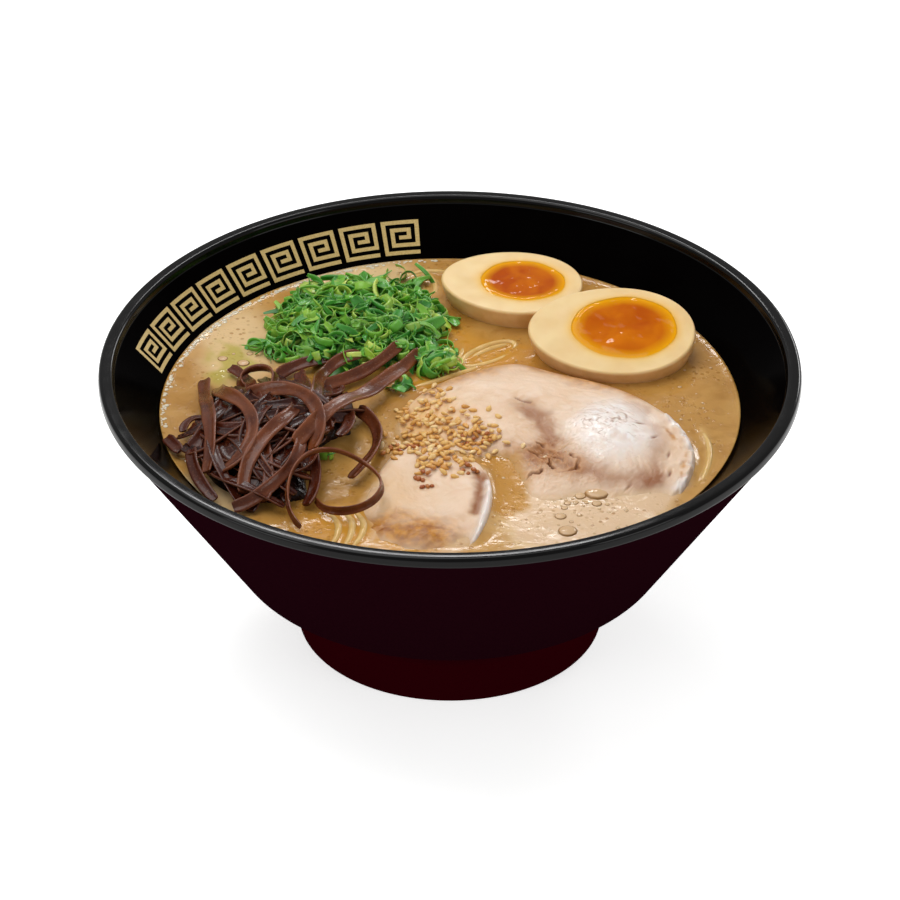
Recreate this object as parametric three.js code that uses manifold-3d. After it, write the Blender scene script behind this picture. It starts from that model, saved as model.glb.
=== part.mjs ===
// A ramen bowl filled with broth, noodles, two egg halves, two slices of roast pork with sesame,
// a heap of wood-ear strips and a heap of sliced scallions.
// Millimetres, +Z up. The origin is the centre of the foot ring's underside, and the eater sits at -Y.

import * as THREE from 'three';
import { mergeVertices } from 'three/addons/utils/BufferGeometryUtils.js';
import Module from 'manifold-3d';

const wasm = await Module();
wasm.setup();

// ---------------------------------------------------------------- driving dimensions

const RIM_RADIUS = 115; // widest point of the lip
const BOWL_HEIGHT = 99.6;
const LIP_WIDTH = 5.2; // radial width of the rounded lip
const LIP_DROP = 5.5; // height of the band that the lip makes outside
const CORNER_RADIUS = 73.4; // where the straight wall turns in under the bowl
const CORNER_HEIGHT = 32.4;
const FOOT_RADIUS = 51.2;
const FOOT_WALL = 5.6;
const UNDERSIDE_HEIGHT = 22; // where the underside meets the foot ring
const RECESS_HEIGHT = 25.5; // ceiling of the hollow foot
const FLOOR_HEIGHT = 36; // inside floor of the bowl
const LATHE_STEPS = 60;

const BROTH_LEVEL = 82.7;
const BROTH_RADIUS = 95.7; // inside radius of the bowl at the broth's level
const GAP = 0.3; // air left between pieces that touch
const WALL_GAP = 0.5; // air left between the contents and the bowl's wall

// ---------------------------------------------------------------- small helpers

const radians = THREE.MathUtils.degToRad;
const smoothstep = THREE.MathUtils.smoothstep;

function seededRandom(seed) {
  let state = seed;
  return () => {
    state = (state * 48271) % 2147483647;
    return state / 2147483647;
  };
}

function solid(geometry) {
  geometry.deleteAttribute('normal');
  geometry.deleteAttribute('uv');
  const merged = mergeVertices(geometry, 1e-4);
  const corners = merged.index.array;
  const triangles = [];
  for (let i = 0; i < corners.length; i += 3) {
    const [a, b, c] = [corners[i], corners[i + 1], corners[i + 2]];
    if (a !== b && b !== c && c !== a) triangles.push(a, b, c);
  }
  return new wasm.Manifold(new wasm.Mesh({
    numProp: 3,
    vertProperties: Float32Array.from(merged.attributes.position.array),
    triVerts: Uint32Array.from(triangles),
  }));
}

function meshOf(name, manifold, color, roughness, metalness = 0) {
  const { vertProperties, triVerts } = manifold.getMesh();
  const geometry = new THREE.BufferGeometry();
  geometry.setAttribute('position', new THREE.BufferAttribute(vertProperties, 3));
  geometry.setIndex(new THREE.BufferAttribute(triVerts, 1));
  geometry.computeVertexNormals();
  const mesh = new THREE.Mesh(geometry, new THREE.MeshStandardMaterial({ color, roughness, metalness }));
  mesh.name = name;
  return mesh;
}

function joined(parts) {
  return parts.reduce((sum, part) => sum.add(part));
}

function largestBody(manifold) {
  const bodies = manifold.decompose();
  return bodies.reduce((best, body) => (body.volume() > best.volume() ? body : best));
}

function clear(piece, obstacles) {
  return obstacles.every((obstacle) => piece.intersect(obstacle).isEmpty());
}

// The height of a solid's top face over a place in plan, or nothing beside it.
function topFaceOf(manifold) {
  const mesh = meshOf('surface', manifold, 0xffffff, 1);
  const ray = new THREE.Raycaster();
  const down = new THREE.Vector3(0, 0, -1);
  return (x, y) => {
    ray.set(new THREE.Vector3(x, y, 2 * BOWL_HEIGHT), down);
    return ray.intersectObject(mesh)[0]?.point.z;
  };
}

function mapVertices(geometry, place) {
  const position = geometry.attributes.position;
  const point = new THREE.Vector3();
  for (let i = 0; i < position.count; i += 1) {
    point.fromBufferAttribute(position, i);
    place(point);
    position.setXYZ(i, point.x, point.y, point.z);
  }
  return geometry;
}

function turned(profile, steps = LATHE_STEPS) {
  const points = profile.map(([radius, height]) => new THREE.Vector2(radius, height));
  return solid(new THREE.LatheGeometry(points, steps).rotateX(Math.PI / 2));
}

// Bends a bar, modelled along X from -0.5 to 0.5, onto a curve. Its Y stays level, then rolls.
function bentBar(bar, curve, roll = 0) {
  const across = new THREE.Vector3();
  const upward = new THREE.Vector3();
  return solid(mapVertices(bar, (point) => {
    const along = point.x + 0.5;
    const tangent = curve.getTangent(along);
    across.set(-tangent.y, tangent.x, 0).normalize().applyAxisAngle(tangent, roll);
    upward.crossVectors(tangent, across);
    const { y, z } = point;
    point.copy(curve.getPoint(along)).addScaledVector(across, y).addScaledVector(upward, z);
  }));
}

// A path in plan that starts at (x, y), turns by `bend` in its first half and `hook` in its second.
const PATH_STEPS = 16;
function windingPath({ x, y, heading, length, bend, hook }, heightAt) {
  const points = [];
  const place = new THREE.Vector2(x, y);
  let angle = radians(heading);
  for (let step = 0; step <= PATH_STEPS; step += 1) {
    const along = step / PATH_STEPS;
    points.push(new THREE.Vector3(place.x, place.y, heightAt(place.x, place.y, along)));
    place.x += (Math.cos(angle) * length) / PATH_STEPS;
    place.y += (Math.sin(angle) * length) / PATH_STEPS;
    angle += (radians(bend * (1 - along) + hook * along) * 2) / PATH_STEPS;
  }
  return new THREE.CatmullRomCurve3(points);
}

// A flat, rounded lump: rings shrink from the outline to a pole on top and a pole below.
// `reach` is each ring's share of the outline, `rise` runs from 1 on the top face to 0 on the bottom.
const LUMP_RINGS = [
  { reach: 0, rise: 1 },
  { reach: 0.3, rise: 1 },
  { reach: 0.58, rise: 1 },
  { reach: 0.82, rise: 1 },
  { reach: 0.95, rise: 0.88 },
  { reach: 1, rise: 0.55 },
  { reach: 0.96, rise: 0 },
  { reach: 0, rise: 0 },
];
function lump({ middle, outline, top, bottom, grow = 0, sides = 28 }) {
  const shape = new THREE.SphereGeometry(1, sides, LUMP_RINGS.length - 1);
  return solid(mapVertices(shape, (point) => {
    const ring = LUMP_RINGS[Math.round((Math.acos(point.y) / Math.PI) * (LUMP_RINGS.length - 1))];
    const side = Math.round((Math.atan2(point.z, -point.x) / (2 * Math.PI) + 1) * sides) % sides;
    const edge = outline(side / sides).sub(middle);
    edge.setLength(edge.length() + grow).multiplyScalar(ring.reach).add(middle);
    const low = bottom - grow;
    const high = top(edge.x, edge.y) + grow;
    point.set(edge.x, edge.y, low + (high - low) * ring.rise);
  }));
}

function ellipseOutline({ x, y, width, depth, heading = 0 }) {
  return (turn) => {
    const angle = turn * 2 * Math.PI;
    const place = new THREE.Vector2((Math.cos(angle) * width) / 2, (Math.sin(angle) * depth) / 2);
    return place.rotateAround(new THREE.Vector2(), radians(heading)).add(new THREE.Vector2(x, y));
  };
}

// ---------------------------------------------------------------- the bowl

const LIP_INSIDE = RIM_RADIUS - LIP_WIDTH;
const WALL_TOP = BOWL_HEIGHT - LIP_DROP;
const WALL_TOP_RADIUS = RIM_RADIUS - 2.1;

// The inside face, from the lip's foot to the axis. `inset` draws it in for what the bowl holds.
function insideProfile(inset = 0) {
  return [
    [LIP_INSIDE - inset, BOWL_HEIGHT - 2.6],
    [BROTH_RADIUS - inset, BROTH_LEVEL],
    [82.6 - inset, 62],
    [72 - inset, 46.5],
    [64 - inset, 39.2],
    [52 - inset, FLOOR_HEIGHT + inset],
    [0, FLOOR_HEIGHT + inset],
  ];
}

function makeBowl() {
  return turned([
    [0, RECESS_HEIGHT],
    [FOOT_RADIUS - FOOT_WALL - 3, RECESS_HEIGHT],
    [FOOT_RADIUS - FOOT_WALL - 0.6, RECESS_HEIGHT - 2.4],
    [FOOT_RADIUS - FOOT_WALL, 1.2],
    [FOOT_RADIUS - FOOT_WALL + 1, 0],
    [FOOT_RADIUS - 1, 0],
    [FOOT_RADIUS, 1],
    [FOOT_RADIUS, UNDERSIDE_HEIGHT - 1.5],
    [FOOT_RADIUS + 1.5, UNDERSIDE_HEIGHT],
    [CORNER_RADIUS - 1.2, CORNER_HEIGHT - 0.9],
    [CORNER_RADIUS, CORNER_HEIGHT],
    [WALL_TOP_RADIUS, WALL_TOP],
    [RIM_RADIUS - 0.5, BOWL_HEIGHT - 4.1],
    [RIM_RADIUS, BOWL_HEIGHT - 2.4],
    [RIM_RADIUS - 0.6, BOWL_HEIGHT - 0.8],
    [RIM_RADIUS - 1.9, BOWL_HEIGHT],
    [RIM_RADIUS - 3.5, BOWL_HEIGHT - 0.1],
    [RIM_RADIUS - 4.6, BOWL_HEIGHT - 1.1],
    ...insideProfile(),
  ]);
}

// The space inside the bowl, drawn in by `inset` and closed by a lid well above the rim.
function cavity(inset) {
  const profile = insideProfile(inset);
  const slope = (profile[0][0] - profile[1][0]) / (profile[0][1] - profile[1][1]);
  const lid = BOWL_HEIGHT + 20;
  const lidRadius = profile[0][0] + slope * (lid - profile[0][1]);
  return turned([[0, lid], [lidRadius, lid], ...profile].reverse());
}

const roomInBowl = cavity(WALL_GAP);

// ---------------------------------------------------------------- the egg halves

const EGGS = {
  front: { x: 54, y: 33.5, z: 92, length: 56, width: 43, heading: -5, lean: 11, yolk: 36, yolkShift: 3.6 },
  back: { x: 21, y: 67, z: 91, length: 48.5, width: 38.5, heading: -13, lean: 2, yolk: 29, yolkShift: 3.4 },
};
const EGG_BLUNTNESS = 0.1; // how much wider the blunt end is
const YOLK_ROUNDNESS = 0.86; // width over length of a yolk

function placed(manifold, { x, y, z, heading, lean }) {
  return manifold.rotate([lean, 0, 0]).rotate([0, 0, heading]).translate([x, y, z]);
}

function halfOf(manifold, cutHeight = 0) {
  const below = solid(new THREE.BoxGeometry(100, 100, 60));
  return manifold.intersect(below.translate([0, 0, cutHeight - 30]));
}

function eggShape({ length, width }, grow) {
  const ball = new THREE.SphereGeometry(1, 24, 10).rotateX(Math.PI / 2);
  return solid(mapVertices(ball, (point) => {
    const girth = (width / 2 + grow) * (1 + EGG_BLUNTNESS * point.x);
    point.set(point.x * (length / 2 + grow), point.y * girth, point.z * girth);
  }));
}

function yolkShape({ yolk, yolkShift }, grow) {
  const ball = new THREE.SphereGeometry(1, 18, 8).rotateX(Math.PI / 2);
  return solid(mapVertices(ball, (point) => {
    const girth = (yolk / 2) * YOLK_ROUNDNESS + grow;
    point.set(point.x * (yolk / 2 + grow) + yolkShift, point.y * girth, point.z * girth * 0.8);
  }));
}

function makeEggWhite(egg) {
  const white = halfOf(eggShape(egg, 0));
  return placed(white.subtract(yolkShape(egg, GAP)), egg);
}

function makeYolk(egg) {
  return placed(halfOf(yolkShape(egg, 0)), egg);
}

function eggRoom(egg) {
  return placed(halfOf(eggShape(egg, GAP), GAP), egg);
}

const eggRooms = Object.values(EGGS).map(eggRoom);

// ---------------------------------------------------------------- the pork slices

const PORK_BOTTOM = BROTH_LEVEL - 5.5;
const PORK_SIDES = { large: 32, small: 22 };
const SWIRL = { x: 29, y: -39, width: 5.5, depth: 5.5, height: 1.6 }; // where the rolled meat's layers meet
const FAT_SHOULDER = { x: 52, y: -24, width: 14, depth: 18, height: 1.2 };
const BACK_LIFT = { height: 3, from: -62, to: -8 }; // the large slice stands proud at its back
const RAISED_CORNER = { x: 14, y: -56, width: 8, depth: 14, height: 1.6 }; // of the small slice

const LARGE_PORK = {
  middle: new THREE.Vector2(36, -31),
  edge: [
    [79, -36], [75, -17], [62, 0], [49, 9.5], [36, 15.5], [22, 21.5], [9, 17.5], [-5, 8],
    [-15, -6], [-16.5, -17], [-9, -26.5], [5, -29.5], [14, -35.5], [18, -48], [18, -66],
    [20, -82], [38, -83.5], [58, -72.5], [72, -57],
  ],
};
const SMALL_PORK = {
  middle: new THREE.Vector2(-8, -58),
  edge: [
    [13, -54], [9, -39], [-2, -34], [-13, -31.5], [-20, -38], [-26, -50], [-29, -66],
    [-27, -80], [-14, -88], [4, -87], [12, -72],
  ],
};

// A soft rise in a top face, highest over its own x and y.
function bump({ x, y, width, depth, height }, px, py) {
  return height * Math.exp(-(((px - x) / width) ** 2) - (((py - y) / depth) ** 2));
}

function porkOutline({ edge }) {
  const points = edge.map(([x, y]) => new THREE.Vector3(x, y, 0));
  const curve = new THREE.CatmullRomCurve3(points, true, 'centripetal');
  return (turn) => {
    const point = curve.getPointAt(turn % 1);
    return new THREE.Vector2(point.x, point.y);
  };
}

function largePorkTop(x, y) {
  const lift = BACK_LIFT.height * smoothstep(y, BACK_LIFT.from, BACK_LIFT.to);
  return BROTH_LEVEL + 0.9 + lift + bump(FAT_SHOULDER, x, y) - bump(SWIRL, x, y);
}

function smallPorkTop(x, y) {
  const waves = 0.5 * Math.sin(x / 5) * Math.cos(y / 9);
  return BROTH_LEVEL + 1.6 + waves + bump(RAISED_CORNER, x, y);
}

function porkSlice(slice, top, sides, grow) {
  const { middle } = slice;
  return lump({ middle, outline: porkOutline(slice), top, bottom: PORK_BOTTOM, grow, sides });
}

const largePork = (grow) => porkSlice(LARGE_PORK, largePorkTop, PORK_SIDES.large, grow);
const smallPork = (grow) => porkSlice(SMALL_PORK, smallPorkTop, PORK_SIDES.small, grow);
const porkBlanks = {
  large: eggRooms.reduce((slice, room) => slice.subtract(room), largePork(0)).intersect(roomInBowl),
  small: smallPork(0).intersect(roomInBowl),
};
const porkRooms = [largePork(GAP), smallPork(GAP)];

// ---------------------------------------------------------------- the sesame seeds

const SEED = { length: 2.9, width: 1.8, thickness: 1.3 };
const SEED_PATCH = { x: -2, y: -21, width: 32, depth: 42, count: 58, spacing: 2.6, tries: 4000 };
const SEED_FOOTING = { reach: 2, drop: 1.2 }; // how far the face may fall away round a seed

function sesamePlaces() {
  const random = seededRandom(7);
  const places = [];
  for (let i = 0; places.length < SEED_PATCH.count && i < SEED_PATCH.tries; i += 1) {
    const spread = random() ** 0.8 / 2;
    const angle = random() * 2 * Math.PI;
    const x = SEED_PATCH.x + Math.cos(angle) * spread * SEED_PATCH.width;
    const y = SEED_PATCH.y + Math.sin(angle) * spread * SEED_PATCH.depth;
    const turn = random() * 180;
    const apart = places.every((other) => Math.hypot(x - other.x, y - other.y) > SEED_PATCH.spacing);
    if (apart) places.push({ x, y, turn });
  }
  return places;
}

// A seed lies on the slice's face where that face is near level, and not over its rounded edge.
function seedShape({ x, y, turn }, face) {
  const { reach, drop } = SEED_FOOTING;
  const height = face(x, y);
  const around = [face(x + reach, y), face(x - reach, y), face(x, y + reach), face(x, y - reach)];
  const level = around.every((beside) => beside > height - drop);
  if (height === undefined || !level) return [];
  const seed = solid(new THREE.SphereGeometry(0.5, 6, 3).scale(SEED.length, SEED.width, SEED.thickness));
  return [seed.rotate([0, 0, turn]).translate([x, y, height + SEED.thickness * 0.1])];
}

function withSesame(slice) {
  const face = topFaceOf(slice);
  const seeds = sesamePlaces().flatMap((place) => seedShape(place, face));
  return joined([slice, ...seeds]);
}

// ---------------------------------------------------------------- the wood-ear heap

const WOOD_EAR = { x: -56, y: -26, width: 70, depth: 84, hump: 10.5, sunk: 3 };
const STRIP_THICKNESS = 1.4;
const STRIP_STEP = 7.5; // length of a strip between two of its cross-sections
const STRIP_ROOM = 5; // how much wider a heap is taken to be for a strip beside it

// Each strip: start x and y, heading, length, turn of its first and second half, height over the
// heap, arch, width, and roll of its face away from level. The lowest strips come first.
const STRIPS = [
  [-83, -34, 271, 27, 19, 19, 0.2, 0.6, 3.6, 25],
  [-92, -22, 302, 11, -15, 16, 0.3, 0.2, 3.6, 15],
  [-80, -16, 153, 10, 78, 41, 0.2, 0.5, 3.0, 20],
  [-73, 21, 311, 38, -52, 41, 0.2, 0.8, 3.6, 25],
  [-50, 18, 279, 48, 0, 17, 0.2, 0.8, 3.6, -25],
  [-35, 2, 275, 33, 17, -65, 0.2, 0.4, 3.4, 15],
  [-60, -38, 283, 25, -3, -32, 0.2, 0.3, 3.6, 15],
  [-41, -72, 87, 20, -26, 53, 0.2, 0.3, 3.6, 10],
  [-57, 16, 58, 19, -48, -15, 0.2, 0.4, 3.2, -20],
  [-67, 3, 141, 28, -214, -22, 0.2, 4.5, 3.2, -55],
  [-30, -8, 315, 44, -69, -3, 0.3, 1.2, 4.2, -35],
  [-48, -36, 270, 38, -36, -45, 0.4, 1.4, 3.8, 40],
  [-81, 13, 270, 61, 18, -32, 0.4, 2.0, 6.0, 25],
  [-30, 23, 188, 41, 109, -52, 0.4, 2.4, 4.0, 30],
  [-17, 29, 251, 21, -60, 35, 0.4, 0.8, 3.8, 30],
  [-50, -19, 255, 44, -38, 70, 0.6, 2.0, 4.2, 20],
  [-76, 7, 270, 63, 74, -171, 0.6, 3.2, 4.4, 30],
  [-66, -7, 5, 49, -80, -29, 0.8, 3.8, 4.4, -30],
  [-10, 28, 243, 75, -5, 12, 1.0, 3.4, 4.6, 35],
  [-50, -72, 111, 81, -99, -245, 0.2, 5.0, 2.8, -70],
];

function woodEarGround(x, y) {
  const across = (x - WOOD_EAR.x) / (WOOD_EAR.width / 2);
  const along = (y - WOOD_EAR.y) / (WOOD_EAR.depth / 2);
  return BROTH_LEVEL + 0.8 + WOOD_EAR.hump * Math.max(0, 1 - across * across - along * along);
}

function woodEarCore(grow) {
  const core = lump({
    middle: new THREE.Vector2(WOOD_EAR.x, WOOD_EAR.y),
    outline: ellipseOutline(WOOD_EAR),
    top: woodEarGround,
    bottom: BROTH_LEVEL - WOOD_EAR.sunk,
    grow,
    sides: 22,
  });
  return core.intersect(roomInBowl);
}

// A strip follows the heap, or keeps just above the broth and the scallions beside it.
function stripShape([x, y, heading, length, bend, hook, lay, arch, width, roll], grow) {
  const tilt = Math.abs(radians(roll));
  const half = (width * Math.sin(tilt) + STRIP_THICKNESS * Math.cos(tilt)) / 2 + GAP + 0.1;
  const heightAt = (px, py, along) => {
    const beside = [SCALLIONS, SCALLION_CLUMP].map((heap) => scallionGround(widened(heap), px, py));
    const ground = Math.max(woodEarGround(px, py) + lay, ...beside.map((height) => height + half));
    return ground + arch * Math.sin(Math.PI * along);
  };
  const path = windingPath({ x, y, heading, length, bend, hook }, heightAt);
  const steps = Math.max(4, Math.round(length / STRIP_STEP));
  const bar = new THREE.BoxGeometry(1, width + 2 * grow, STRIP_THICKNESS + 2 * grow, steps);
  return bentBar(bar, path, radians(roll));
}

function makeWoodEar(obstacles) {
  const strips = STRIPS.filter((strip) => clear(stripShape(strip, GAP), obstacles));
  const heap = joined([woodEarCore(0), ...strips.map((strip) => stripShape(strip, 0))]);
  return largestBody(heap.intersect(roomInBowl));
}

// ---------------------------------------------------------------- the scallion heap

const SCALLIONS = { x: -31, y: 48, width: 56, depth: 54, hump: 7.5, sunk: 2.5 };
const SCALLION_CLUMP = { x: -4.5, y: 24, width: 12, depth: 11, hump: 3, sunk: 2.5 };
const SCALLION_PIECES = { dome: 40, clump: 5 };
const SCALLION_RING = { radius: 2.3, spread: 1.3, wall: 1, height: 2, sides: 5 };
const SCALLION_SLIVER = { length: 6.5, spread: 4.5, thickness: 1, width: 2.6 };
const GOLDEN_ANGLE = radians(137.5);

function scallionGround(heap, x, y) {
  const across = (x - heap.x) / (heap.width / 2);
  const along = (y - heap.y) / (heap.depth / 2);
  const share = 1 - across * across - along * along;
  return share > 0 ? BROTH_LEVEL + 0.6 + heap.hump * share ** 0.7 : BROTH_LEVEL;
}

// The room that a strip's width needs beside a heap.
function widened(heap) {
  return { ...heap, width: heap.width + STRIP_ROOM, depth: heap.depth + STRIP_ROOM };
}

function scallionDome(heap, grow, sides) {
  return lump({
    middle: new THREE.Vector2(heap.x, heap.y),
    outline: ellipseOutline(heap),
    top: (x, y) => scallionGround(heap, x, y),
    bottom: BROTH_LEVEL - heap.sunk,
    grow,
    sides,
  });
}

function scallionCore(grow) {
  const heaps = scallionDome(SCALLIONS, grow, 20).add(scallionDome(SCALLION_CLUMP, grow, 10));
  return heaps.intersect(roomInBowl);
}

function scallionRing(random) {
  const { radius, spread, wall, height, sides } = SCALLION_RING;
  const outer = radius + random() * spread;
  const inner = outer - wall;
  const top = height + random() * spread;
  const profile = [[inner, 0], [outer, 0], [outer, top], [inner, top], [inner, 0]];
  return turned(profile, sides).scale([1, 0.75 + random() * 0.25, 1]);
}

function scallionSliver(random) {
  const { thickness, width } = SCALLION_SLIVER;
  const length = SCALLION_SLIVER.length + random() * SCALLION_SLIVER.spread;
  const turn = 50 + random() * 80;
  const path = windingPath({ x: 0, y: 0, heading: 0, length, bend: turn / 2, hook: turn }, () => 1);
  return bentBar(new THREE.BoxGeometry(1, thickness, width, 2), path, radians(20 + random() * 50));
}

// Rings and curled slivers lie over the dome in a sunflower pattern, each tipped its own way.
function scallionPiece(index, random) {
  const spread = Math.sqrt((index + 0.5) / SCALLION_PIECES.dome) * 0.93;
  const angle = index * GOLDEN_ANGLE;
  const x = SCALLIONS.x + (Math.cos(angle) * spread * SCALLIONS.width) / 2;
  const y = SCALLIONS.y + (Math.sin(angle) * spread * SCALLIONS.depth) / 2;
  const shape = index % 3 === 0 ? scallionRing(random) : scallionSliver(random);
  const tip = [random() * 50 - 25, random() * 50 - 25, random() * 360];
  return shape.rotate(tip).translate([x, y, scallionGround(SCALLIONS, x, y)]);
}

function clumpPiece(index, random) {
  const angle = (index / SCALLION_PIECES.clump) * 2 * Math.PI;
  const x = SCALLION_CLUMP.x + Math.cos(angle) * 2.6;
  const y = SCALLION_CLUMP.y + Math.sin(angle) * 2.4;
  const shape = index % 2 === 0 ? scallionRing(random) : scallionSliver(random);
  const tip = [random() * 40 - 20, random() * 40 - 20, random() * 360];
  return shape.rotate(tip).translate([x, y, scallionGround(SCALLION_CLUMP, x, y) - 0.2]);
}

function makeScallions(obstacles) {
  const random = seededRandom(23);
  const pieces = [];
  for (let i = 0; i < SCALLION_PIECES.dome; i += 1) pieces.push(scallionPiece(i, random));
  for (let i = 0; i < SCALLION_PIECES.clump; i += 1) pieces.push(clumpPiece(i, random));
  const lying = pieces.filter((piece) => clear(piece, obstacles));
  return largestBody(joined([scallionCore(0), ...lying]).intersect(roomInBowl));
}

// ---------------------------------------------------------------- the noodles

const NOODLE = { diameter: 2.5, sides: 5, steps: 9 };
const NOODLE_BED = { height: BROTH_LEVEL - 10, thickness: 5, width: 11, steps: 11 };
const RISE_SIDES = 14;
// Places where the noodles come up to the broth's surface.
const NOODLE_RISES = [
  { x: 13, y: 33, width: 25, depth: 12, heading: 38 },
  { x: -9, y: 78, width: 9, depth: 17, heading: 8 },
  { x: -34, y: -77, width: 7, depth: 16, heading: 4 },
];

function noodleRise({ x, y, width, depth, heading }, grow) {
  const low = NOODLE_BED.height;
  const high = BROTH_LEVEL - 0.1 + 2 * grow;
  const column = new THREE.CylinderGeometry(0.5, 0.5, high - low, RISE_SIDES).rotateX(Math.PI / 2);
  const shaped = solid(column.scale(width + 2 * grow, depth + 2 * grow, 1));
  return shaped.rotate([0, 0, heading]).translate([x, y, (low + high) / 2]);
}

// The sunk bundle that the rises stand on runs under the toppings from one rise to the next.
function noodleBed(grow) {
  const [middleRise, backRise, frontRise] = NOODLE_RISES;
  const places = [backRise, middleRise, { x: -2, y: 0 }, { x: -20, y: -42 }, frontRise];
  const { height, thickness, width, steps } = NOODLE_BED;
  const path = new THREE.CatmullRomCurve3(places.map(({ x, y }) => new THREE.Vector3(x, y, height)));
  return bentBar(new THREE.BoxGeometry(1, width + 2 * grow, thickness + 2 * grow, steps), path);
}

function noodleCore(grow) {
  const rises = NOODLE_RISES.map((rise) => noodleRise(rise, grow));
  const core = joined([noodleBed(grow), ...rises]).intersect(roomInBowl);
  return eggRooms.reduce((left, room) => left.subtract(room), core);
}

// Part of a noodle that curls at the surface, `inset` inside the edge of its rise.
function noodleLoop(rise, inset, from, to) {
  const outline = ellipseOutline({ ...rise, width: rise.width - 2 * inset, depth: rise.depth - 2 * inset });
  const points = [];
  for (let step = 0; step <= NOODLE.steps; step += 1) {
    const along = step / NOODLE.steps;
    const place = outline(from + (to - from) * along);
    points.push(new THREE.Vector3(place.x, place.y, BROTH_LEVEL - 0.4 + 0.6 * Math.sin(Math.PI * along)));
  }
  const strand = new THREE.CylinderGeometry(0.5, 0.5, 1, NOODLE.sides, NOODLE.steps).rotateZ(Math.PI / 2);
  const bar = strand.scale(1, NOODLE.diameter, NOODLE.diameter);
  return bentBar(bar, new THREE.CatmullRomCurve3(points));
}

function makeNoodles() {
  const [middleRise, backRise, frontRise] = NOODLE_RISES;
  const loops = [
    noodleLoop(middleRise, 1.7, -0.12, 0.5),
    noodleLoop(middleRise, 4.3, 0.05, 0.6),
    noodleLoop(backRise, 1.7, 0.2, 0.75),
    noodleLoop(frontRise, 1.7, -0.3, 0.25),
    noodleLoop(frontRise, 1.7, 0.32, 0.62),
  ];
  return largestBody(joined([noodleCore(0), ...loops]));
}

// ---------------------------------------------------------------- the broth

function brothLayer(inset) {
  const [, ...below] = insideProfile(inset);
  return turned([[0, BROTH_LEVEL], ...below].reverse());
}

function makeBroth() {
  const rooms = [
    ...eggRooms,
    ...porkRooms,
    woodEarCore(GAP),
    scallionCore(GAP),
    noodleCore(GAP),
  ];
  const broth = rooms.reduce((left, room) => left.subtract(room), brothLayer(GAP));
  return largestBody(broth);
}

// ---------------------------------------------------------------- the assembled bowl

const largeSlice = withSesame(porkBlanks.large);
const smallSlice = withSesame(porkBlanks.small);
const noodles = makeNoodles();
const brothBesideWoodEar = brothLayer(GAP).subtract(woodEarCore(0));
const brothBesideScallions = brothLayer(GAP).subtract(scallionCore(0));
const woodEar = makeWoodEar([scallionCore(GAP), largeSlice, smallSlice, noodles, brothBesideWoodEar]);
const scallions = makeScallions([woodEar, largeSlice, noodles, brothBesideScallions, ...eggRooms]);

const ramen = new THREE.Group();
ramen.add(
  meshOf('bowl', makeBowl(), 0x1c0a10, 0.3),
  meshOf('broth', makeBroth(), 0xd9b27c, 0.25),
  meshOf('egg_front_white', makeEggWhite(EGGS.front), 0xf0dcb4, 0.4),
  meshOf('egg_front_yolk', makeYolk(EGGS.front), 0xd87810, 0.2),
  meshOf('egg_back_white', makeEggWhite(EGGS.back), 0xf0dcb4, 0.4),
  meshOf('egg_back_yolk', makeYolk(EGGS.back), 0xd87810, 0.2),
  meshOf('pork_large', largeSlice, 0xd8b898, 0.45),
  meshOf('pork_small', smallSlice, 0xdab28a, 0.45),
  meshOf('wood_ear', woodEar, 0x5e3326, 0.4),
  meshOf('scallions', scallions, 0x4c9a2c, 0.45),
  meshOf('noodles', noodles, 0xe4c486, 0.4),
);

export default ramen;
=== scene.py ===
"""Looks of a ramen bowl: a lacquered bowl of pork broth with egg halves, roast pork, sesame, wood-ear
strips, scallions and noodles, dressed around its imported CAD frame. The eater sits at -Y.

Shapes are worked out in millimetres, and `mesh_object` turns them into metres.
"""

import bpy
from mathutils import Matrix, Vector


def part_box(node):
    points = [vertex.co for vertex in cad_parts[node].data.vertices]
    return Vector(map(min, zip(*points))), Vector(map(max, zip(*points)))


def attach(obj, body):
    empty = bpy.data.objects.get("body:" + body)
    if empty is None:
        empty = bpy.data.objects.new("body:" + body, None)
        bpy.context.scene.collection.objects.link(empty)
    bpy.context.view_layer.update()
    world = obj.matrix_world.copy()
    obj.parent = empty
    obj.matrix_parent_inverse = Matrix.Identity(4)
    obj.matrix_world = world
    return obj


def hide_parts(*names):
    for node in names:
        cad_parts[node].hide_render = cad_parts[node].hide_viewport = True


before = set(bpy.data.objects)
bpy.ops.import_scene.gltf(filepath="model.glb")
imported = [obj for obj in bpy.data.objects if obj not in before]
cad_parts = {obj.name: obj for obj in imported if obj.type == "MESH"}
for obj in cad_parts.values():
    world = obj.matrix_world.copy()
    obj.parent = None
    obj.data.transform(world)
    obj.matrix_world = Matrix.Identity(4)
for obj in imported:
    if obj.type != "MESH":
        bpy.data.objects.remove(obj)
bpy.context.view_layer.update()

import math

import bpy
import numpy as np
from bpy.props import FloatProperty, FloatVectorProperty, IntProperty, PointerProperty
from mathutils import Matrix, Vector

bl_info = {
    "name": "Ramen Bowl",
    "version": (1, 0, 0),
    "blender": (4, 5, 0),
    "location": "View3D > Sidebar > Ramen Bowl",
    "description": "Builds a bowl of pork-broth ramen, its stage and its camera",
    "category": "Add Mesh",
}

# ---------------------------------------------------------------- driving sizes, in millimetres

MM = 0.001  # metres in a millimetre
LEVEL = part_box("broth")[1].z / MM  # of the broth
WALL_FOOT = (95.7, 82.7)  # radius and height of the inside wall at the broth
WALL_HEAD = (109.8, 97)  # and under the lip
WALL_RUN, WALL_RISE = WALL_HEAD[0] - WALL_FOOT[0], WALL_HEAD[1] - WALL_FOOT[1]
BROTH_RADIUS = WALL_FOOT[0]
LIP_BOTTOM = 96.4  # where the polished lip begins outside
LIP_RADIUS = 100  # all of the lip lies farther out


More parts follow.
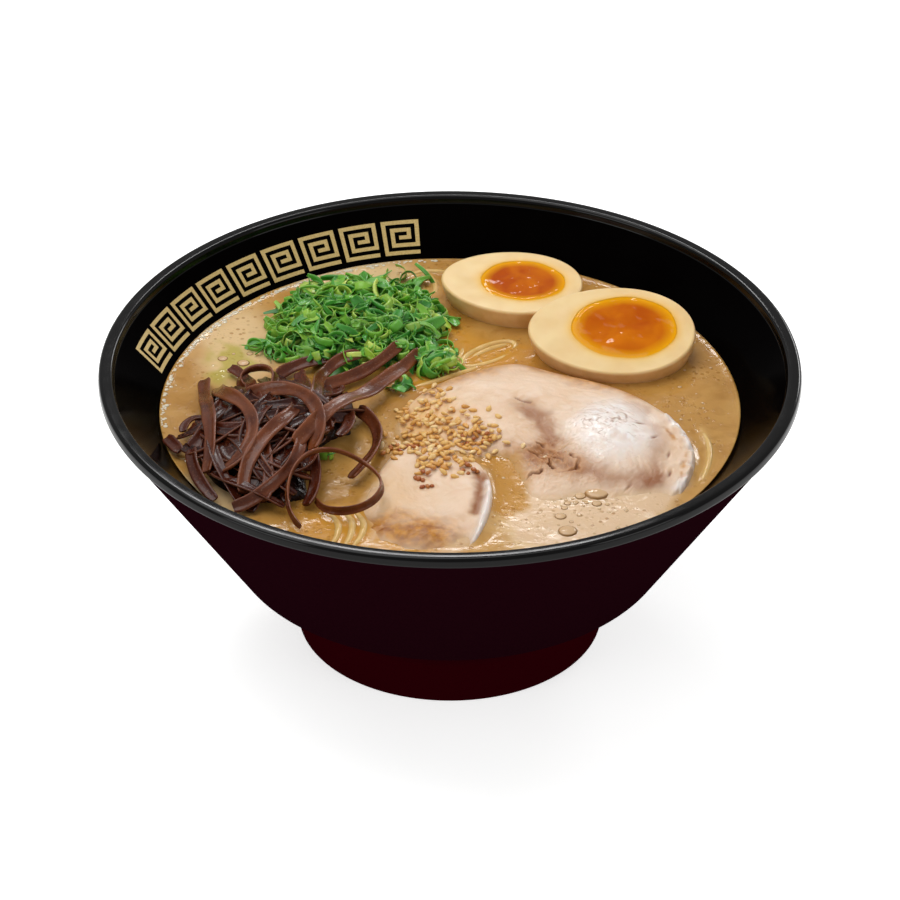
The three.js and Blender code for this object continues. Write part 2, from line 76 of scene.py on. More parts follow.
def colour(hex_code):
    """An sRGB hex colour as linear red, green, blue and alpha."""
    channels = [int(hex_code[i:i + 2], 16) / 255 for i in (1, 3, 5)]
    linear = [c / 12.92 if c <= 0.04045 else ((c + 0.055) / 1.055) ** 2.4 for c in channels]
    return (*linear, 1.0)


# ---------------------------------------------------------------- small mathematics

NOISE_LUMPS = 97  # after which noise repeats
CURVE_STEPS = 24  # places between two given points of a curve


def smoothstep(value, low, high):
    share = np.clip((value - low) / (high - low), 0, 1)
    return share * share * (3 - 2 * share)


def value_noise(x, y, size, seed):
    """Smooth noise from -1 to 1 whose lumps are about `size` across."""
    table = np.random.default_rng(seed).uniform(-1, 1, (NOISE_LUMPS, NOISE_LUMPS))
    u, v = x / size, y / size
    column, row = np.floor(u).astype(int), np.floor(v).astype(int)
    across, along = u - column, v - row
    across = across * across * (3 - 2 * across)
    along = along * along * (3 - 2 * along)

    def at(i, j):
        return table[i % NOISE_LUMPS, j % NOISE_LUMPS]

    near = at(column, row) * (1 - across) + at(column + 1, row) * across
    far = at(column, row + 1) * (1 - across) + at(column + 1, row + 1) * across
    return near * (1 - along) + far * along


def layered_noise(x, y, size, seed, layers=4):
    total = 0
    for layer in range(layers):
        total = total + value_noise(x, y, size / 2 ** layer, seed + layer) / 2 ** layer
    return total


def fibre_noise(x, y, centre, width, seed):
    """Streaks of a width, in mm, that run round a centre. A turn has room for NOISE_LUMPS of them."""
    radius = np.hypot(x - centre[0], y - centre[1])
    turn = np.arctan2(y - centre[1], x - centre[0]) / (2 * math.pi) * NOISE_LUMPS
    return value_noise(turn, radius / width, 1, seed)


def bump(x, y, centre, width, depth, turn=0.0):
    """A soft hill of height 1 over `centre`, with its long axis turned by `turn` degrees."""
    dx, dy = x - centre[0], y - centre[1]
    c, s = math.cos(math.radians(turn)), math.sin(math.radians(turn))
    return np.exp(-((dx * c + dy * s) / width) ** 2 - ((dy * c - dx * s) / depth) ** 2)


def smooth_curve(points, count, closed=False):
    """`count` places spaced evenly along a smooth curve through a few given points."""
    points = np.array(points, float)
    last = len(points) if closed else len(points) - 1

    def pick(i):
        return points[i % len(points)] if closed else points[min(max(i, 0), last)]

    t = np.linspace(0, 1, CURVE_STEPS, endpoint=False)[:, None]
    spans = []
    for i in range(last):
        p0, p1, p2, p3 = pick(i - 1), pick(i), pick(i + 1), pick(i + 2)
        spans.append(p1 + 0.5 * (t * (p2 - p0) + t ** 2 * (2 * p0 - 5 * p1 + 4 * p2 - p3)
                                 + t ** 3 * (3 * p1 - p0 - 3 * p2 + p3)))
    curve = np.vstack([*spans, pick(last)[None]])
    length = np.concatenate([[0], np.cumsum(np.linalg.norm(np.diff(curve, axis=0), axis=1))])
    wanted = np.linspace(0, length[-1], count, endpoint=not closed)
    return np.stack([np.interp(wanted, length, column) for column in curve.T], 1)


def path_distance(x, y, path):
    """Distance in plan from each place to an open path."""
    nearest = np.full(np.shape(x), np.inf)
    for (ax, ay), (bx, by) in zip(path, path[1:]):
        dx, dy = bx - ax, by - ay
        along = np.clip(((x - ax) * dx + (y - ay) * dy) / (dx * dx + dy * dy), 0, 1)
        nearest = np.minimum(nearest, np.hypot(x - ax - along * dx, y - ay - along * dy))
    return nearest


def shore_distance(x, y, outline):
    """Distance in plan from each place to a closed outline, negative inside it."""
    inside = np.zeros(np.shape(x), bool)
    for (ax, ay), (bx, by) in zip(outline, np.roll(outline, -1, 0)):
        if ay != by:
            crossing = (ay > y) != (by > y)
            inside ^= crossing & (x < ax + (y - ay) / (by - ay) * (bx - ax))
    away = path_distance(x, y, np.vstack([outline, outline[:1]]))
    return np.where(inside, -away, away)


def near_path(x, y, points, width):
    """1 on a smooth path through some points, falling softly to 0 beside it."""
    return np.exp(-(path_distance(x, y, smooth_curve(points, 8 * len(points))) / width) ** 2)


def ragged(x, y, size, amount, seed):
    """Places shifted by noise, so that what is drawn at them gets a torn outline."""
    shift_x, shift_y = (amount * layered_noise(x, y, size, seed + step, 3) for step in (0, 5))
    return x + shift_x, y + shift_y


def part_way(start, end, share):
    return start + (end - start) * share


def full_turn(count):
    """Angles spaced evenly round a circle, in radians."""
    return np.linspace(0, 2 * math.pi, count, endpoint=False)


# ---------------------------------------------------------------- nodes and materials

def add_node(tree, kind, settings=None, inputs=None):
    """Adds a node. A setting is an attribute, and an input is a value, a node or one of its outputs."""
    made = tree.nodes.new(kind)
    for name, value in (settings or {}).items():
        setattr(made, name, value)
    for name, value in (inputs or {}).items():
        if isinstance(value, bpy.types.Node):
            value = next(socket for socket in value.outputs if socket.enabled)
        if isinstance(value, bpy.types.NodeSocket):
            tree.links.new(value, made.inputs[name])
        else:
            made.inputs[name].default_value = value
    return made


def arithmetic(tree, operation, a, b=0.0):
    return add_node(tree, "ShaderNodeMath", {"operation": operation}, {0: a, 1: b}).outputs["Value"]


def new_material(name, surface_values):
    """A material of one Principled surface. Its constant values are set on its own sockets."""
    material = bpy.data.materials.new(name)
    material.use_nodes = True
    tree = material.node_tree
    tree.nodes.clear()
    surface = add_node(tree, "ShaderNodeBsdfPrincipled", inputs=surface_values)
    add_node(tree, "ShaderNodeOutputMaterial", inputs={"Surface": surface})
    place = add_node(tree, "ShaderNodeTexCoord").outputs["Object"]
    return material, tree, surface, place


def noise(tree, place, size, detail=3.0, distortion=0.0):
    """Noise whose lumps are about `size` millimetres across."""
    inputs = {"Vector": place, "Scale": 1 / (size * MM), "Detail": detail, "Distortion": distortion}
    return add_node(tree, "ShaderNodeTexNoise", inputs=inputs).outputs["Fac"]


def scaled(tree, value, low, high, to_low=0.0, to_high=1.0):
    inputs = {"Value": value, "From Min": low, "From Max": high, "To Min": to_low, "To Max": to_high}
    return add_node(tree, "ShaderNodeMapRange", inputs=inputs).outputs["Result"]


def spots(tree, place, size, inner, outer):
    """Spots about `size` millimetres apart: 1 inside a share of that, and 0 past a larger share."""
    inputs = {"Vector": place, "Scale": 1 / (size * MM)}
    distance = add_node(tree, "ShaderNodeTexVoronoi", inputs=inputs).outputs["Distance"]
    return scaled(tree, distance, outer, inner)


def ramp(tree, factor, *stops):
    """Colours along a factor: each stop is a position and an sRGB hex colour."""
    made = add_node(tree, "ShaderNodeValToRGB", inputs={"Fac": factor})
    elements = made.color_ramp.elements
    while len(elements) < len(stops):
        elements.new(0.5)
    for element, (position, hex_code) in zip(elements, stops):
        element.position = position
        element.color = colour(hex_code)
    return made.outputs["Color"]


def mix(tree, factor, low, high):
    """Mixes two colours. Each is a socket, a linear colour or an sRGB hex colour."""
    low, high = (colour(value) if isinstance(value, str) else value for value in (low, high))
    made = add_node(tree, "ShaderNodeMix", {"data_type": "RGBA"}, {0: factor, 6: low, 7: high})
    return made.outputs[2]


def attribute(tree, name):
    return add_node(tree, "ShaderNodeAttribute", {"attribute_name": name}).outputs["Fac"]


def raise_surface(tree, surface, height, distance):
    """Lets a height from 0 to 1 stand out from the surface by `distance` millimetres."""
    made = add_node(tree, "ShaderNodeBump", inputs={"Height": height, "Distance": distance * MM})
    tree.links.new(made.outputs["Normal"], surface.inputs["Normal"])


# ---------------------------------------------------------------- meshes

def mesh_object(name, vertices, edges=(), faces=()):
    """A mesh from places in millimetres."""
    mesh = bpy.data.meshes.new(name)
    places = (np.asarray(vertices) * MM).tolist()
    mesh.from_pydata(places, [list(edge) for edge in edges], [list(face) for face in faces])
    if len(faces):
        mesh.shade_smooth()
    made = bpy.data.objects.new(name, mesh)
    bpy.context.scene.collection.objects.link(made)
    return made


def store(piece, name, values):
    """Keeps a number, or a direction, for each vertex of a piece."""
    values = np.asarray(values, np.float32)
    kind, field = ("FLOAT_VECTOR", "vector") if values.ndim == 2 else ("FLOAT", "value")
    piece.data.attributes.new(name, kind, "POINT").data.foreach_set(field, values.ravel())


def shell(name, rings, masks=None):
    """A closed skin over rings of places. The first and the last ring each shrink to a pole."""
    rings = np.asarray(rings)
    count, sides = rings.shape[:2]
    vertices = np.vstack([rings[0].mean(0), rings[1:-1].reshape(-1, 3), rings[-1].mean(0)])
    ring = np.arange(count - 3)[:, None] * sides + 1
    side = np.arange(sides)[None, :]
    after = (side + 1) % sides
    quads = np.stack([ring + side, ring + after, ring + sides + after, ring + sides + side], -1)
    last = len(vertices) - 1
    start, end = np.arange(sides) + 1, np.arange(sides) + last - sides
    faces = quads.reshape(-1, 4).tolist()
    faces += [[0, b, a] for a, b in zip(start, np.roll(start, -1))]
    faces += [[last, a, b] for a, b in zip(end, np.roll(end, -1))]
    a, b, c, d = (vertices[quads[..., k]] for k in range(4))
    volume = np.einsum("ijk,ijk->", a, np.cross(b, c) + np.cross(c, d))
    if volume < 0:
        faces = [face[::-1] for face in faces]
    made = mesh_object(name, vertices, faces=faces)
    for key, value in (masks or {}).items():
        value = np.broadcast_to(value, rings.shape[:2])
        store(made, key, np.concatenate([[value[0].mean()], value[1:-1].ravel(), [value[-1].mean()]]))
    return made


def keep(piece, slot, *nodes, material=None):
    """Fixes a finished piece to the frame, in the place of the CAD nodes that it stands for."""
    if material is not None:
        piece.data.materials.clear()
        piece.data.materials.append(material)
    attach(piece, "root")
    if nodes:
        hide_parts(*nodes)


# ---------------------------------------------------------------- Geometry Nodes

SOCKETS = {
    float: "NodeSocketFloat",
    int: "NodeSocketInt",
    bpy.types.Material: "NodeSocketMaterial",
}
WELD_DISTANCE = 0.00001  # in metres


def new_tree(name, inputs):
    """A Geometry Nodes tree with a named input for each of its sizes, and the outputs that give them."""
    tree = bpy.data.node_groups.new(name, "GeometryNodeTree")
    tree.interface.new_socket("Geometry", in_out="INPUT", socket_type="NodeSocketGeometry")
    tree.interface.new_socket("Geometry", in_out="OUTPUT", socket_type="NodeSocketGeometry")
    for label, kind in inputs.items():
        tree.interface.new_socket(label, in_out="INPUT", socket_type=SOCKETS[kind])
    return tree, tree.nodes.new("NodeGroupInput").outputs


def end_tree(tree, geometry, material, smooth=True):
    """Ends a tree in plain mesh of one material."""
    real = add_node(tree, "GeometryNodeRealizeInstances", inputs={"Geometry": geometry})
    shaded = add_node(tree, "GeometryNodeSetShadeSmooth", inputs={"Geometry": real, "Shade Smooth": smooth})
    painted = add_node(tree, "GeometryNodeSetMaterial", inputs={"Geometry": shaded, "Material": material})
    add_node(tree, "NodeGroupOutput", inputs={"Geometry": painted})


def grow(name, base, tree, values):
    """Runs a tree on a base object, and gives its result as a plain mesh that takes the base's place."""
    modifier = base.modifiers.new(tree.name, "NODES")
    modifier.node_group = tree
    for item in tree.interface.items_tree:
        if item.in_out == "INPUT" and item.name in values:
            modifier[item.identifier] = values[item.name]
    depsgraph = bpy.context.evaluated_depsgraph_get()
    evaluated = base.evaluated_get(depsgraph)
    mesh = bpy.data.meshes.new_from_object(evaluated, preserve_all_data_layers=True, depsgraph=depsgraph)
    bpy.data.objects.remove(base)
    if len(mesh.polygons) == 0:
        raise RuntimeError(f"{name} came out empty")
    made = bpy.data.objects.new(name, mesh)
    bpy.context.scene.collection.objects.link(made)
    return made


def named(tree, name, kind="FLOAT"):
    made = add_node(tree, "GeometryNodeInputNamedAttribute", {"data_type": kind}, {"Name": name})
    return made.outputs["Attribute"]


def stored(tree, geometry, name, value):
    """Keeps a number for each point, which a material or a later node can read."""
    return add_node(tree, "GeometryNodeStoreNamedAttribute", {"domain": "POINT", "data_type": "FLOAT"}, {
        "Geometry": geometry, "Name": name, "Value": value})


def position_parts(tree):
    """The X, Y and Z of each point."""
    place = add_node(tree, "GeometryNodeInputPosition")
    return add_node(tree, "ShaderNodeSeparateXYZ", inputs={0: place}).outputs


def welded(tree, geometry):
    """Makes one corner of those that lie at the same place."""
    return add_node(tree, "GeometryNodeMergeByDistance", inputs={
        "Geometry": geometry, "Distance": WELD_DISTANCE})


# ---------------------------------------------------------------- strands: strips, shreds and noodles

STRAND_ROUNDNESS = 0.5  # radius of a section's corners over its thickness


def strand(points, width, roll=0.0, tone=0.5):
    """A flat strand: its path, the direction across its face, its width and its tone.

    The face lies level, then rolls about the path by `roll` degrees.
    """
    points = np.asarray(points, float)
    tangent = np.gradient(points, axis=0)
    tangent /= np.linalg.norm(tangent, axis=1)[:, None]
    level = np.stack([-tangent[:, 1], tangent[:, 0], 0 * tangent[:, 0]], 1)
    level /= np.maximum(np.linalg.norm(level, axis=1), 1e-6)[:, None]
    count = len(points)
    turn = np.radians(np.broadcast_to(roll, count))[:, None]
    across = level * np.cos(turn) + np.cross(tangent, level) * np.sin(turn)
    return points, across, np.broadcast_to(width, count), np.full(count, tone)


def moved(piece, turn, offset):
    """A strand turned by a 3 x 3 matrix and moved."""
    points, across, width, tone = piece
    return points @ turn.T + offset, across @ turn.T, width, tone


def strand_paths(name, strands):
    """The strands' paths as loose edges, with what the strand tree needs at each point."""
    points, across, width, tone = (np.concatenate(column) for column in zip(*strands))
    edges, start = [], 0
    for piece in strands:
        count = len(piece[0])
        edges += [(start + i, start + i + 1) for i in range(count - 1)]
        start += count
    base = mesh_object(name, points, edges=edges)
    store(base, "across", across)
    store(base, "width", width * MM)
    store(base, "tone", tone)
    return base


def strand_tree():
    """Sweeps a flat, cupped section with round corners along each path."""
    tree, inputs = new_tree("Strands", {
        "Thickness": float, "Roundness": float, "Cup": float, "Sides": int, "Material": bpy.types.Material})
    curves = add_node(tree, "GeometryNodeMeshToCurve", inputs={"Mesh": inputs["Geometry"]})
    facing = add_node(tree, "GeometryNodeSetCurveNormal", {"mode": "FREE"}, {
        "Curve": curves, "Normal": named(tree, "across", "FLOAT_VECTOR")})
    flat = add_node(tree, "GeometryNodeCurvePrimitiveQuadrilateral", inputs={
        "Width": 1.0, "Height": inputs["Thickness"]})
    corner = arithmetic(tree, "MULTIPLY", inputs["Thickness"], inputs["Roundness"])
    soft = add_node(tree, "GeometryNodeFilletCurve", {"mode": "POLY"}, {
        "Curve": flat, "Count": 3, "Radius": corner, "Limit Radius": True})
    section = add_node(tree, "GeometryNodeResampleCurve", inputs={"Curve": soft, "Count": inputs["Sides"]})
    side = position_parts(tree)["X"]
    square = arithmetic(tree, "MULTIPLY", side, side)
    rim = stored(tree, section, "rim", square)
    dip = arithmetic(tree, "MULTIPLY", square, inputs["Cup"])
    shift = add_node(tree, "ShaderNodeCombineXYZ", inputs={"Y": dip})
    cupped = add_node(tree, "GeometryNodeSetPosition", inputs={"Geometry": rim, "Offset": shift})
    swept = add_node(tree, "GeometryNodeCurveToMesh", inputs={
        "Curve": facing, "Profile Curve": cupped, "Scale": named(tree, "width"), "Fill Caps": True})
    end_tree(tree, swept, inputs["Material"])
    return tree


def make_strands(name, strands, material, thickness, sides, cup=0.0):
    """One piece of many strands. `thickness` is a share of their width."""
    tree = bpy.data.node_groups.get("Strands") or strand_tree()
    return grow(name, strand_paths(f"{name}_paths", strands), tree, {
        "Thickness": thickness, "Roundness": STRAND_ROUNDNESS, "Cup": cup, "Sides": sides,
        "Material": material})


def winding_path(x, y, heading, length, bend, hook, steps=16):
    """A path in plan that turns by `bend` degrees in its first half and `hook` in its second."""
    places, place, angle = [], np.array([x, y], float), math.radians(heading)
    for step in range(steps + 1):
        along = step / steps
        places.append(place.copy())
        place += np.array([math.cos(angle), math.sin(angle)]) * length / steps
        angle += math.radians(bend * (1 - along) + hook * along) * 2 / steps
    return np.array(places)


def wall_radius(height):
    """The bowl's inside radius at a height near the broth and above it."""
    return BROTH_RADIUS + (height - LEVEL) * WALL_RUN / WALL_RISE


# ---------------------------------------------------------------- the bowl

# The bowl's section, from the axis under the foot, round the lip, to the axis inside.
# Each corner has a radius, a height and how far it is rounded.
BOWL_CORNERS = [
    (0, 25.5, 0), (44.6, 25.5, 2.2), (45.6, 0, 1), (51.2, 0, 0.9), (51.2, 22, 1.8), (73.4, 32.4, 1.6),
    (112.9, 94.1, 0.3), (115, 96.6, 1.2), (114.7, 99.6, 1.9), (110.2, 99.6, 1.7), (*WALL_HEAD, 0.8),
    (*WALL_FOOT, 4), (82.6, 62, 5), (72, 46.5, 5), (64, 39.2, 5), (52, 36, 5), (0, 36, 0),
]


def rounded_section(corners, arc_steps=7):
    """Places along a section whose corners are rounded."""
    corners = np.array(corners, float)
    places = [corners[0, :2]]
    for before, (x, y, rounding), after in zip(corners, corners[1:], corners[2:]):
        corner = np.array([x, y])
        back, ahead = before[:2] - corner, after[:2] - corner
        back_length, ahead_length = np.linalg.norm(back), np.linalg.norm(ahead)
        back, ahead = back / back_length, ahead / ahead_length
        half = math.acos(float(np.clip(back @ ahead, -1, 1))) / 2
        cut = min(rounding / math.tan(half), 0.45 * back_length, 0.45 * ahead_length)
        for t in np.linspace(0, 1, arc_steps):
            places.append(corner + back * cut * (1 - t) ** 2 + ahead * cut * t ** 2)
    return np.array([*places, corners[-1, :2]])


def lathe_tree():
    """Turns the base's row of points about the Z axis, and paints the outside, the lip and the inside."""
    tree, inputs = new_tree("Bowl Lathe", {
        "Steps": int, "Points": int, "Lip Start": float, "Lip End": float,
        "Inside": bpy.types.Material, "Lip": bpy.types.Material, "Outside": bpy.types.Material})
    grid = add_node(tree, "GeometryNodeMeshGrid", inputs={
        "Size X": 1.0, "Size Y": 1.0, "Vertices X": inputs["Steps"], "Vertices Y": inputs["Points"]})
    share = position_parts(tree)
    last = arithmetic(tree, "SUBTRACT", inputs["Points"], 1.0)
    row = arithmetic(tree, "MULTIPLY", arithmetic(tree, "ADD", share["Y"], 0.5), last)
    kept = stored(tree, grid, "row", arithmetic(tree, "ROUND", row))
    point = add_node(tree, "GeometryNodeSampleIndex", {"data_type": "FLOAT_VECTOR", "domain": "POINT"}, {
        "Geometry": inputs["Geometry"], "Value": add_node(tree, "GeometryNodeInputPosition"),
        "Index": named(tree, "row")})
    turn = arithmetic(tree, "MULTIPLY", share["X"], 2 * math.pi)
    placed = add_node(tree, "ShaderNodeVectorRotate", {"rotation_type": "Z_AXIS"}, {
        "Vector": point, "Angle": turn})
    turned = add_node(tree, "GeometryNodeSetPosition", inputs={"Geometry": kept, "Position": placed})
    smooth = add_node(tree, "GeometryNodeSetShadeSmooth", inputs={"Geometry": welded(tree, turned)})
    real = add_node(tree, "GeometryNodeRealizeInstances", inputs={"Geometry": smooth})
    painted = add_node(tree, "GeometryNodeSetMaterial", inputs={
        "Geometry": real, "Material": inputs["Inside"]})
    for material, end in (("Lip", "Lip End"), ("Outside", "Lip Start")):
        before = add_node(tree, "FunctionNodeCompare", {"data_type": "FLOAT", "operation": "LESS_THAN"}, {
            0: named(tree, "row"), 1: inputs[end]})
        painted = add_node(tree, "GeometryNodeSetMaterial", inputs={
            "Geometry": painted, "Selection": before, "Material": inputs[material]})
    add_node(tree, "NodeGroupOutput", inputs={"Geometry": painted})
    return tree


def black_lacquer(name, tone, gloss):
    """Moulded melamine, polished: a deep black whose `gloss` is its share of a full varnish's mirror."""
    material, tree, surface, place = new_material(name, {
        "Roughness": 0.1, "IOR": 1.5, "Specular IOR Level": gloss})
    cloud = scaled(tree, noise(tree, place, 25), 0.3, 0.7)
    tree.links.new(mix(tree, cloud, tone, "#040303"), surface.inputs["Base Color"])
    tree.links.new(scaled(tree, noise(tree, place, 9), 0.3, 0.7, 0.08, 0.15), surface.inputs["Roughness"])
    raise_surface(tree, surface, noise(tree, place, 30, detail=1.0), 0.02)
    return material


def wine_lacquer(tone):
    """Moulded melamine, matt: a very dark wine brown, redder on the foot, without a mirror's shine."""
    material, tree, surface, place = new_material("wine_melamine_matt", {
        "Roughness": 0.45, "IOR": 1.5, "Specular IOR Level": 0.0})
    height = add_node(tree, "ShaderNodeSeparateXYZ", inputs={0: place}).outputs["Z"]
    speckle = scaled(tree, noise(tree, place, 0.8), 0.35, 0.65, 0.0, 0.5)
    body = mix(tree, speckle, tone, "#190409")
    foot = scaled(tree, height, 24 * MM, 14 * MM)
    tree.links.new(mix(tree, foot, body, "#260105"), surface.inputs["Base Color"])
    return material


def make_bowl(settings):
    section = rounded_section(BOWL_CORNERS)
    section = np.stack([section[:, 0], 0 * section[:, 0], section[:, 1]], 1)
    lip = [i for i, (x, _, z) in enumerate(section) if x > LIP_RADIUS and z >= LIP_BOTTOM]
    base = mesh_object("bowl_section", section, edges=[(i, i + 1) for i in range(len(section) - 1)])
    piece = grow("bowl_body", base, lathe_tree(), {
        "Steps": settings.steps, "Points": len(section),
        "Lip Start": float(lip[0]), "Lip End": float(lip[-1]) + 0.5,
        "Inside": black_lacquer("black_melamine_inside", settings.inside, 0.005),
        "Lip": black_lacquer("black_melamine_lip", settings.inside, 0.18),
        "Outside": wine_lacquer(settings.outside)})
    keep(piece, "bowl_lacquer", "bowl")


# ---------------------------------------------------------------- the printed band on the inside wall

SPIRAL_KEY = (
    "#########",
    "#       #",
    "# ##### #",
    "# #   # #",
    "# # ### #",
    "# #     #",
    "# #######",
    "#        ",
    "#########",
)
KEY_CELL = 1.36
KEY_COUNT = 9
KEY_THICKNESS = 0.06
BAND_START, BAND_END = 169.5, 96  # degrees round the bowl, from its right-hand side
BAND_FOOT = 84.4  # height of the band's lower edge
BAND_CLEARANCE = 0.05  # of the band from the wall


def band_tree():
    """Repeats a flat key along X, gives it its thickness and bends the row onto the bowl's wall."""
    tree, inputs = new_tree("Key Band", {
        "Keys": int, "Spacing": float, "Thickness": float, "Foot Radius": float, "Foot Height": float,
        "Slope": float, "Start Angle": float, "Material": bpy.types.Material})
    step = add_node(tree, "ShaderNodeCombineXYZ", inputs={"X": inputs["Spacing"]})
    line = add_node(tree, "GeometryNodeMeshLine", inputs={"Count": inputs["Keys"], "Offset": step})
    keys = add_node(tree, "GeometryNodeInstanceOnPoints", inputs={
        "Points": line, "Instance": inputs["Geometry"]})
    real = add_node(tree, "GeometryNodeRealizeInstances", inputs={"Geometry": keys})
    up = add_node(tree, "ShaderNodeCombineXYZ", inputs={"Z": 1.0})
    raised = add_node(tree, "GeometryNodeExtrudeMesh", inputs={
        "Mesh": real, "Offset": up, "Offset Scale": inputs["Thickness"], "Individual": False})
    under = add_node(tree, "GeometryNodeFlipFaces", inputs={"Mesh": real})
    joined = add_node(tree, "GeometryNodeJoinGeometry", inputs={"Geometry": raised})
    tree.links.new(under.outputs["Mesh"], joined.inputs["Geometry"])
    closed = welded(tree, joined)
    place = position_parts(tree)
    rise = add_node(tree, "ShaderNodeCombineXYZ", inputs={"X": place["Y"], "Z": place["Z"]})
    sloped = add_node(tree, "ShaderNodeVectorRotate", {"rotation_type": "Y_AXIS"}, {
        "Vector": rise, "Angle": inputs["Slope"]})
    foot = add_node(tree, "ShaderNodeCombineXYZ", inputs={
        "X": inputs["Foot Radius"], "Z": inputs["Foot Height"]})
    standing = add_node(tree, "ShaderNodeVectorMath", {"operation": "ADD"}, {0: sloped, 1: foot})
    turn = arithmetic(tree, "DIVIDE", place["X"], inputs["Foot Radius"])
    bent = add_node(tree, "ShaderNodeVectorRotate", {"rotation_type": "Z_AXIS"}, {
        "Vector": standing, "Angle": arithmetic(tree, "SUBTRACT", inputs["Start Angle"], turn)})
    wrapped = add_node(tree, "GeometryNodeSetPosition", inputs={"Geometry": closed, "Position": bent})
    end_tree(tree, wrapped, inputs["Material"], smooth=False)
    return tree


def gold_print(tone):
    """Pale gold foil print under clear lacquer: slightly metallic, finely grained, a little worn."""
    material, tree, surface, place = new_material("gold_print", {
        "Roughness": 0.35, "Metallic": 0.25, "Coat Weight": 0.3, "Coat Roughness": 0.08})
    grain = scaled(tree, noise(tree, place, 0.5), 0.35, 0.65)
    tree.links.new(mix(tree, grain, tone, "#c4a663"), surface.inputs["Base Color"])
    raise_surface(tree, surface, grain, 0.01)
    return material


def make_band(settings):
    corners, faces = {}, []
    for row, line in enumerate(reversed(SPIRAL_KEY)):
        for column, mark in enumerate(line):
            if mark == "#":
                around = [(column, row), (column + 1, row), (column + 1, row + 1), (column, row + 1)]
                faces.append([corners.setdefault(corner, len(corners)) for corner in around])
    flat = [(column * KEY_CELL, row * KEY_CELL, 0) for column, row in corners]
    base = mesh_object("one_key", flat, faces=faces)
    foot_radius = wall_radius(BAND_FOOT) - BAND_CLEARANCE
    length = math.radians(BAND_START - BAND_END) * foot_radius
    spacing = (length - len(SPIRAL_KEY) * KEY_CELL) / (KEY_COUNT - 1)
    slope = math.atan2(WALL_RISE, WALL_RUN)
    piece = grow("gold_key_band", base, band_tree(), {
        "Keys": KEY_COUNT, "Spacing": spacing * MM, "Thickness": KEY_THICKNESS * MM,
        "Foot Radius": foot_radius * MM, "Foot Height": BAND_FOOT * MM, "Slope": -slope,
        "Start Angle": math.radians(BAND_START), "Material": gold_print(settings.gold)})
    keep(piece, "gold_print")


# ---------------------------------------------------------------- the egg halves

EGGS = {
    "front": {"at": (54, 33.5, 92), "length": 56, "width": 43, "heading": -5, "lean": 11,
              "yolk": 35.4, "yolk_at": (4.3, 1.4), "ripple": 1.5, "seed": 11},
    "back": {"at": (21, 67, 91), "length": 48.5, "width": 38.5, "heading": -13, "lean": 2,
             "yolk": 29, "yolk_at": (3.7, 1.0), "ripple": 0.6, "seed": 21},
}
EGG_BLUNTNESS = 0.1  # how much wider the blunt end is
YOLK_ROUNDNESS = 0.86  # width over length of a yolk
EDGE_ROUNDING = 0.9  # of the white's cut edge
# Under height 0: the white's cut face, the edge of the yolk's face and the edge of its belly.
CUT_DROP, YOLK_DROP, BELLY_DROP = 0.14, 0.22, 0.3
HOLLOW_DEPTH, BELLY_DEPTH = 0.8, 0.78  # of the hollow for the yolk and of its belly, over its half width
SKIN_START = 4.8  # degrees under the cut face at which the outside begins


def set_in_bowl(piece, egg):
    """Leans and turns an egg half, modelled with its cut face level at height 0, and moves it."""
    turn = Matrix.Rotation(math.radians(egg["heading"]), 4, "Z")
    lean = Matrix.Rotation(math.radians(egg["lean"]), 4, "X")
    piece.data.transform(Matrix.Translation(Vector(egg["at"]) * MM) @ turn @ lean)


def egg_waterline(egg, room=0.0):
    """The outline of an egg half at the broth's level."""
    turn = full_turn(72)
    depth = egg["at"][2] - LEVEL
    share = math.sqrt(max(0, 1 - (depth / (egg["width"] / 2)) ** 2))
    x = np.cos(turn) * (egg["length"] / 2 * share + room)
    y = np.sin(turn) * (egg["width"] / 2 * share + room) * (1 + EGG_BLUNTNESS * np.cos(turn))
    y = y + depth * math.sin(math.radians(egg["lean"]))
    c, s = math.cos(math.radians(egg["heading"])), math.sin(math.radians(egg["heading"]))
    return np.stack([egg["at"][0] + x * c - y * s, egg["at"][1] + x * s + y * c], 1)


def yolk_outline(egg, turn, inset=0.0):
    """The yolk's slightly uneven edge in the cut face."""
    wobble = 1 + 0.012 * np.sin(3 * turn + egg["seed"]) + 0.008 * np.sin(7 * turn + 2 * egg["seed"])
    x, y = egg["yolk_at"]
    half = (egg["yolk"] / 2 - inset) * wobble
    return x + half * np.cos(turn), y + half * YOLK_ROUNDNESS * np.sin(turn)


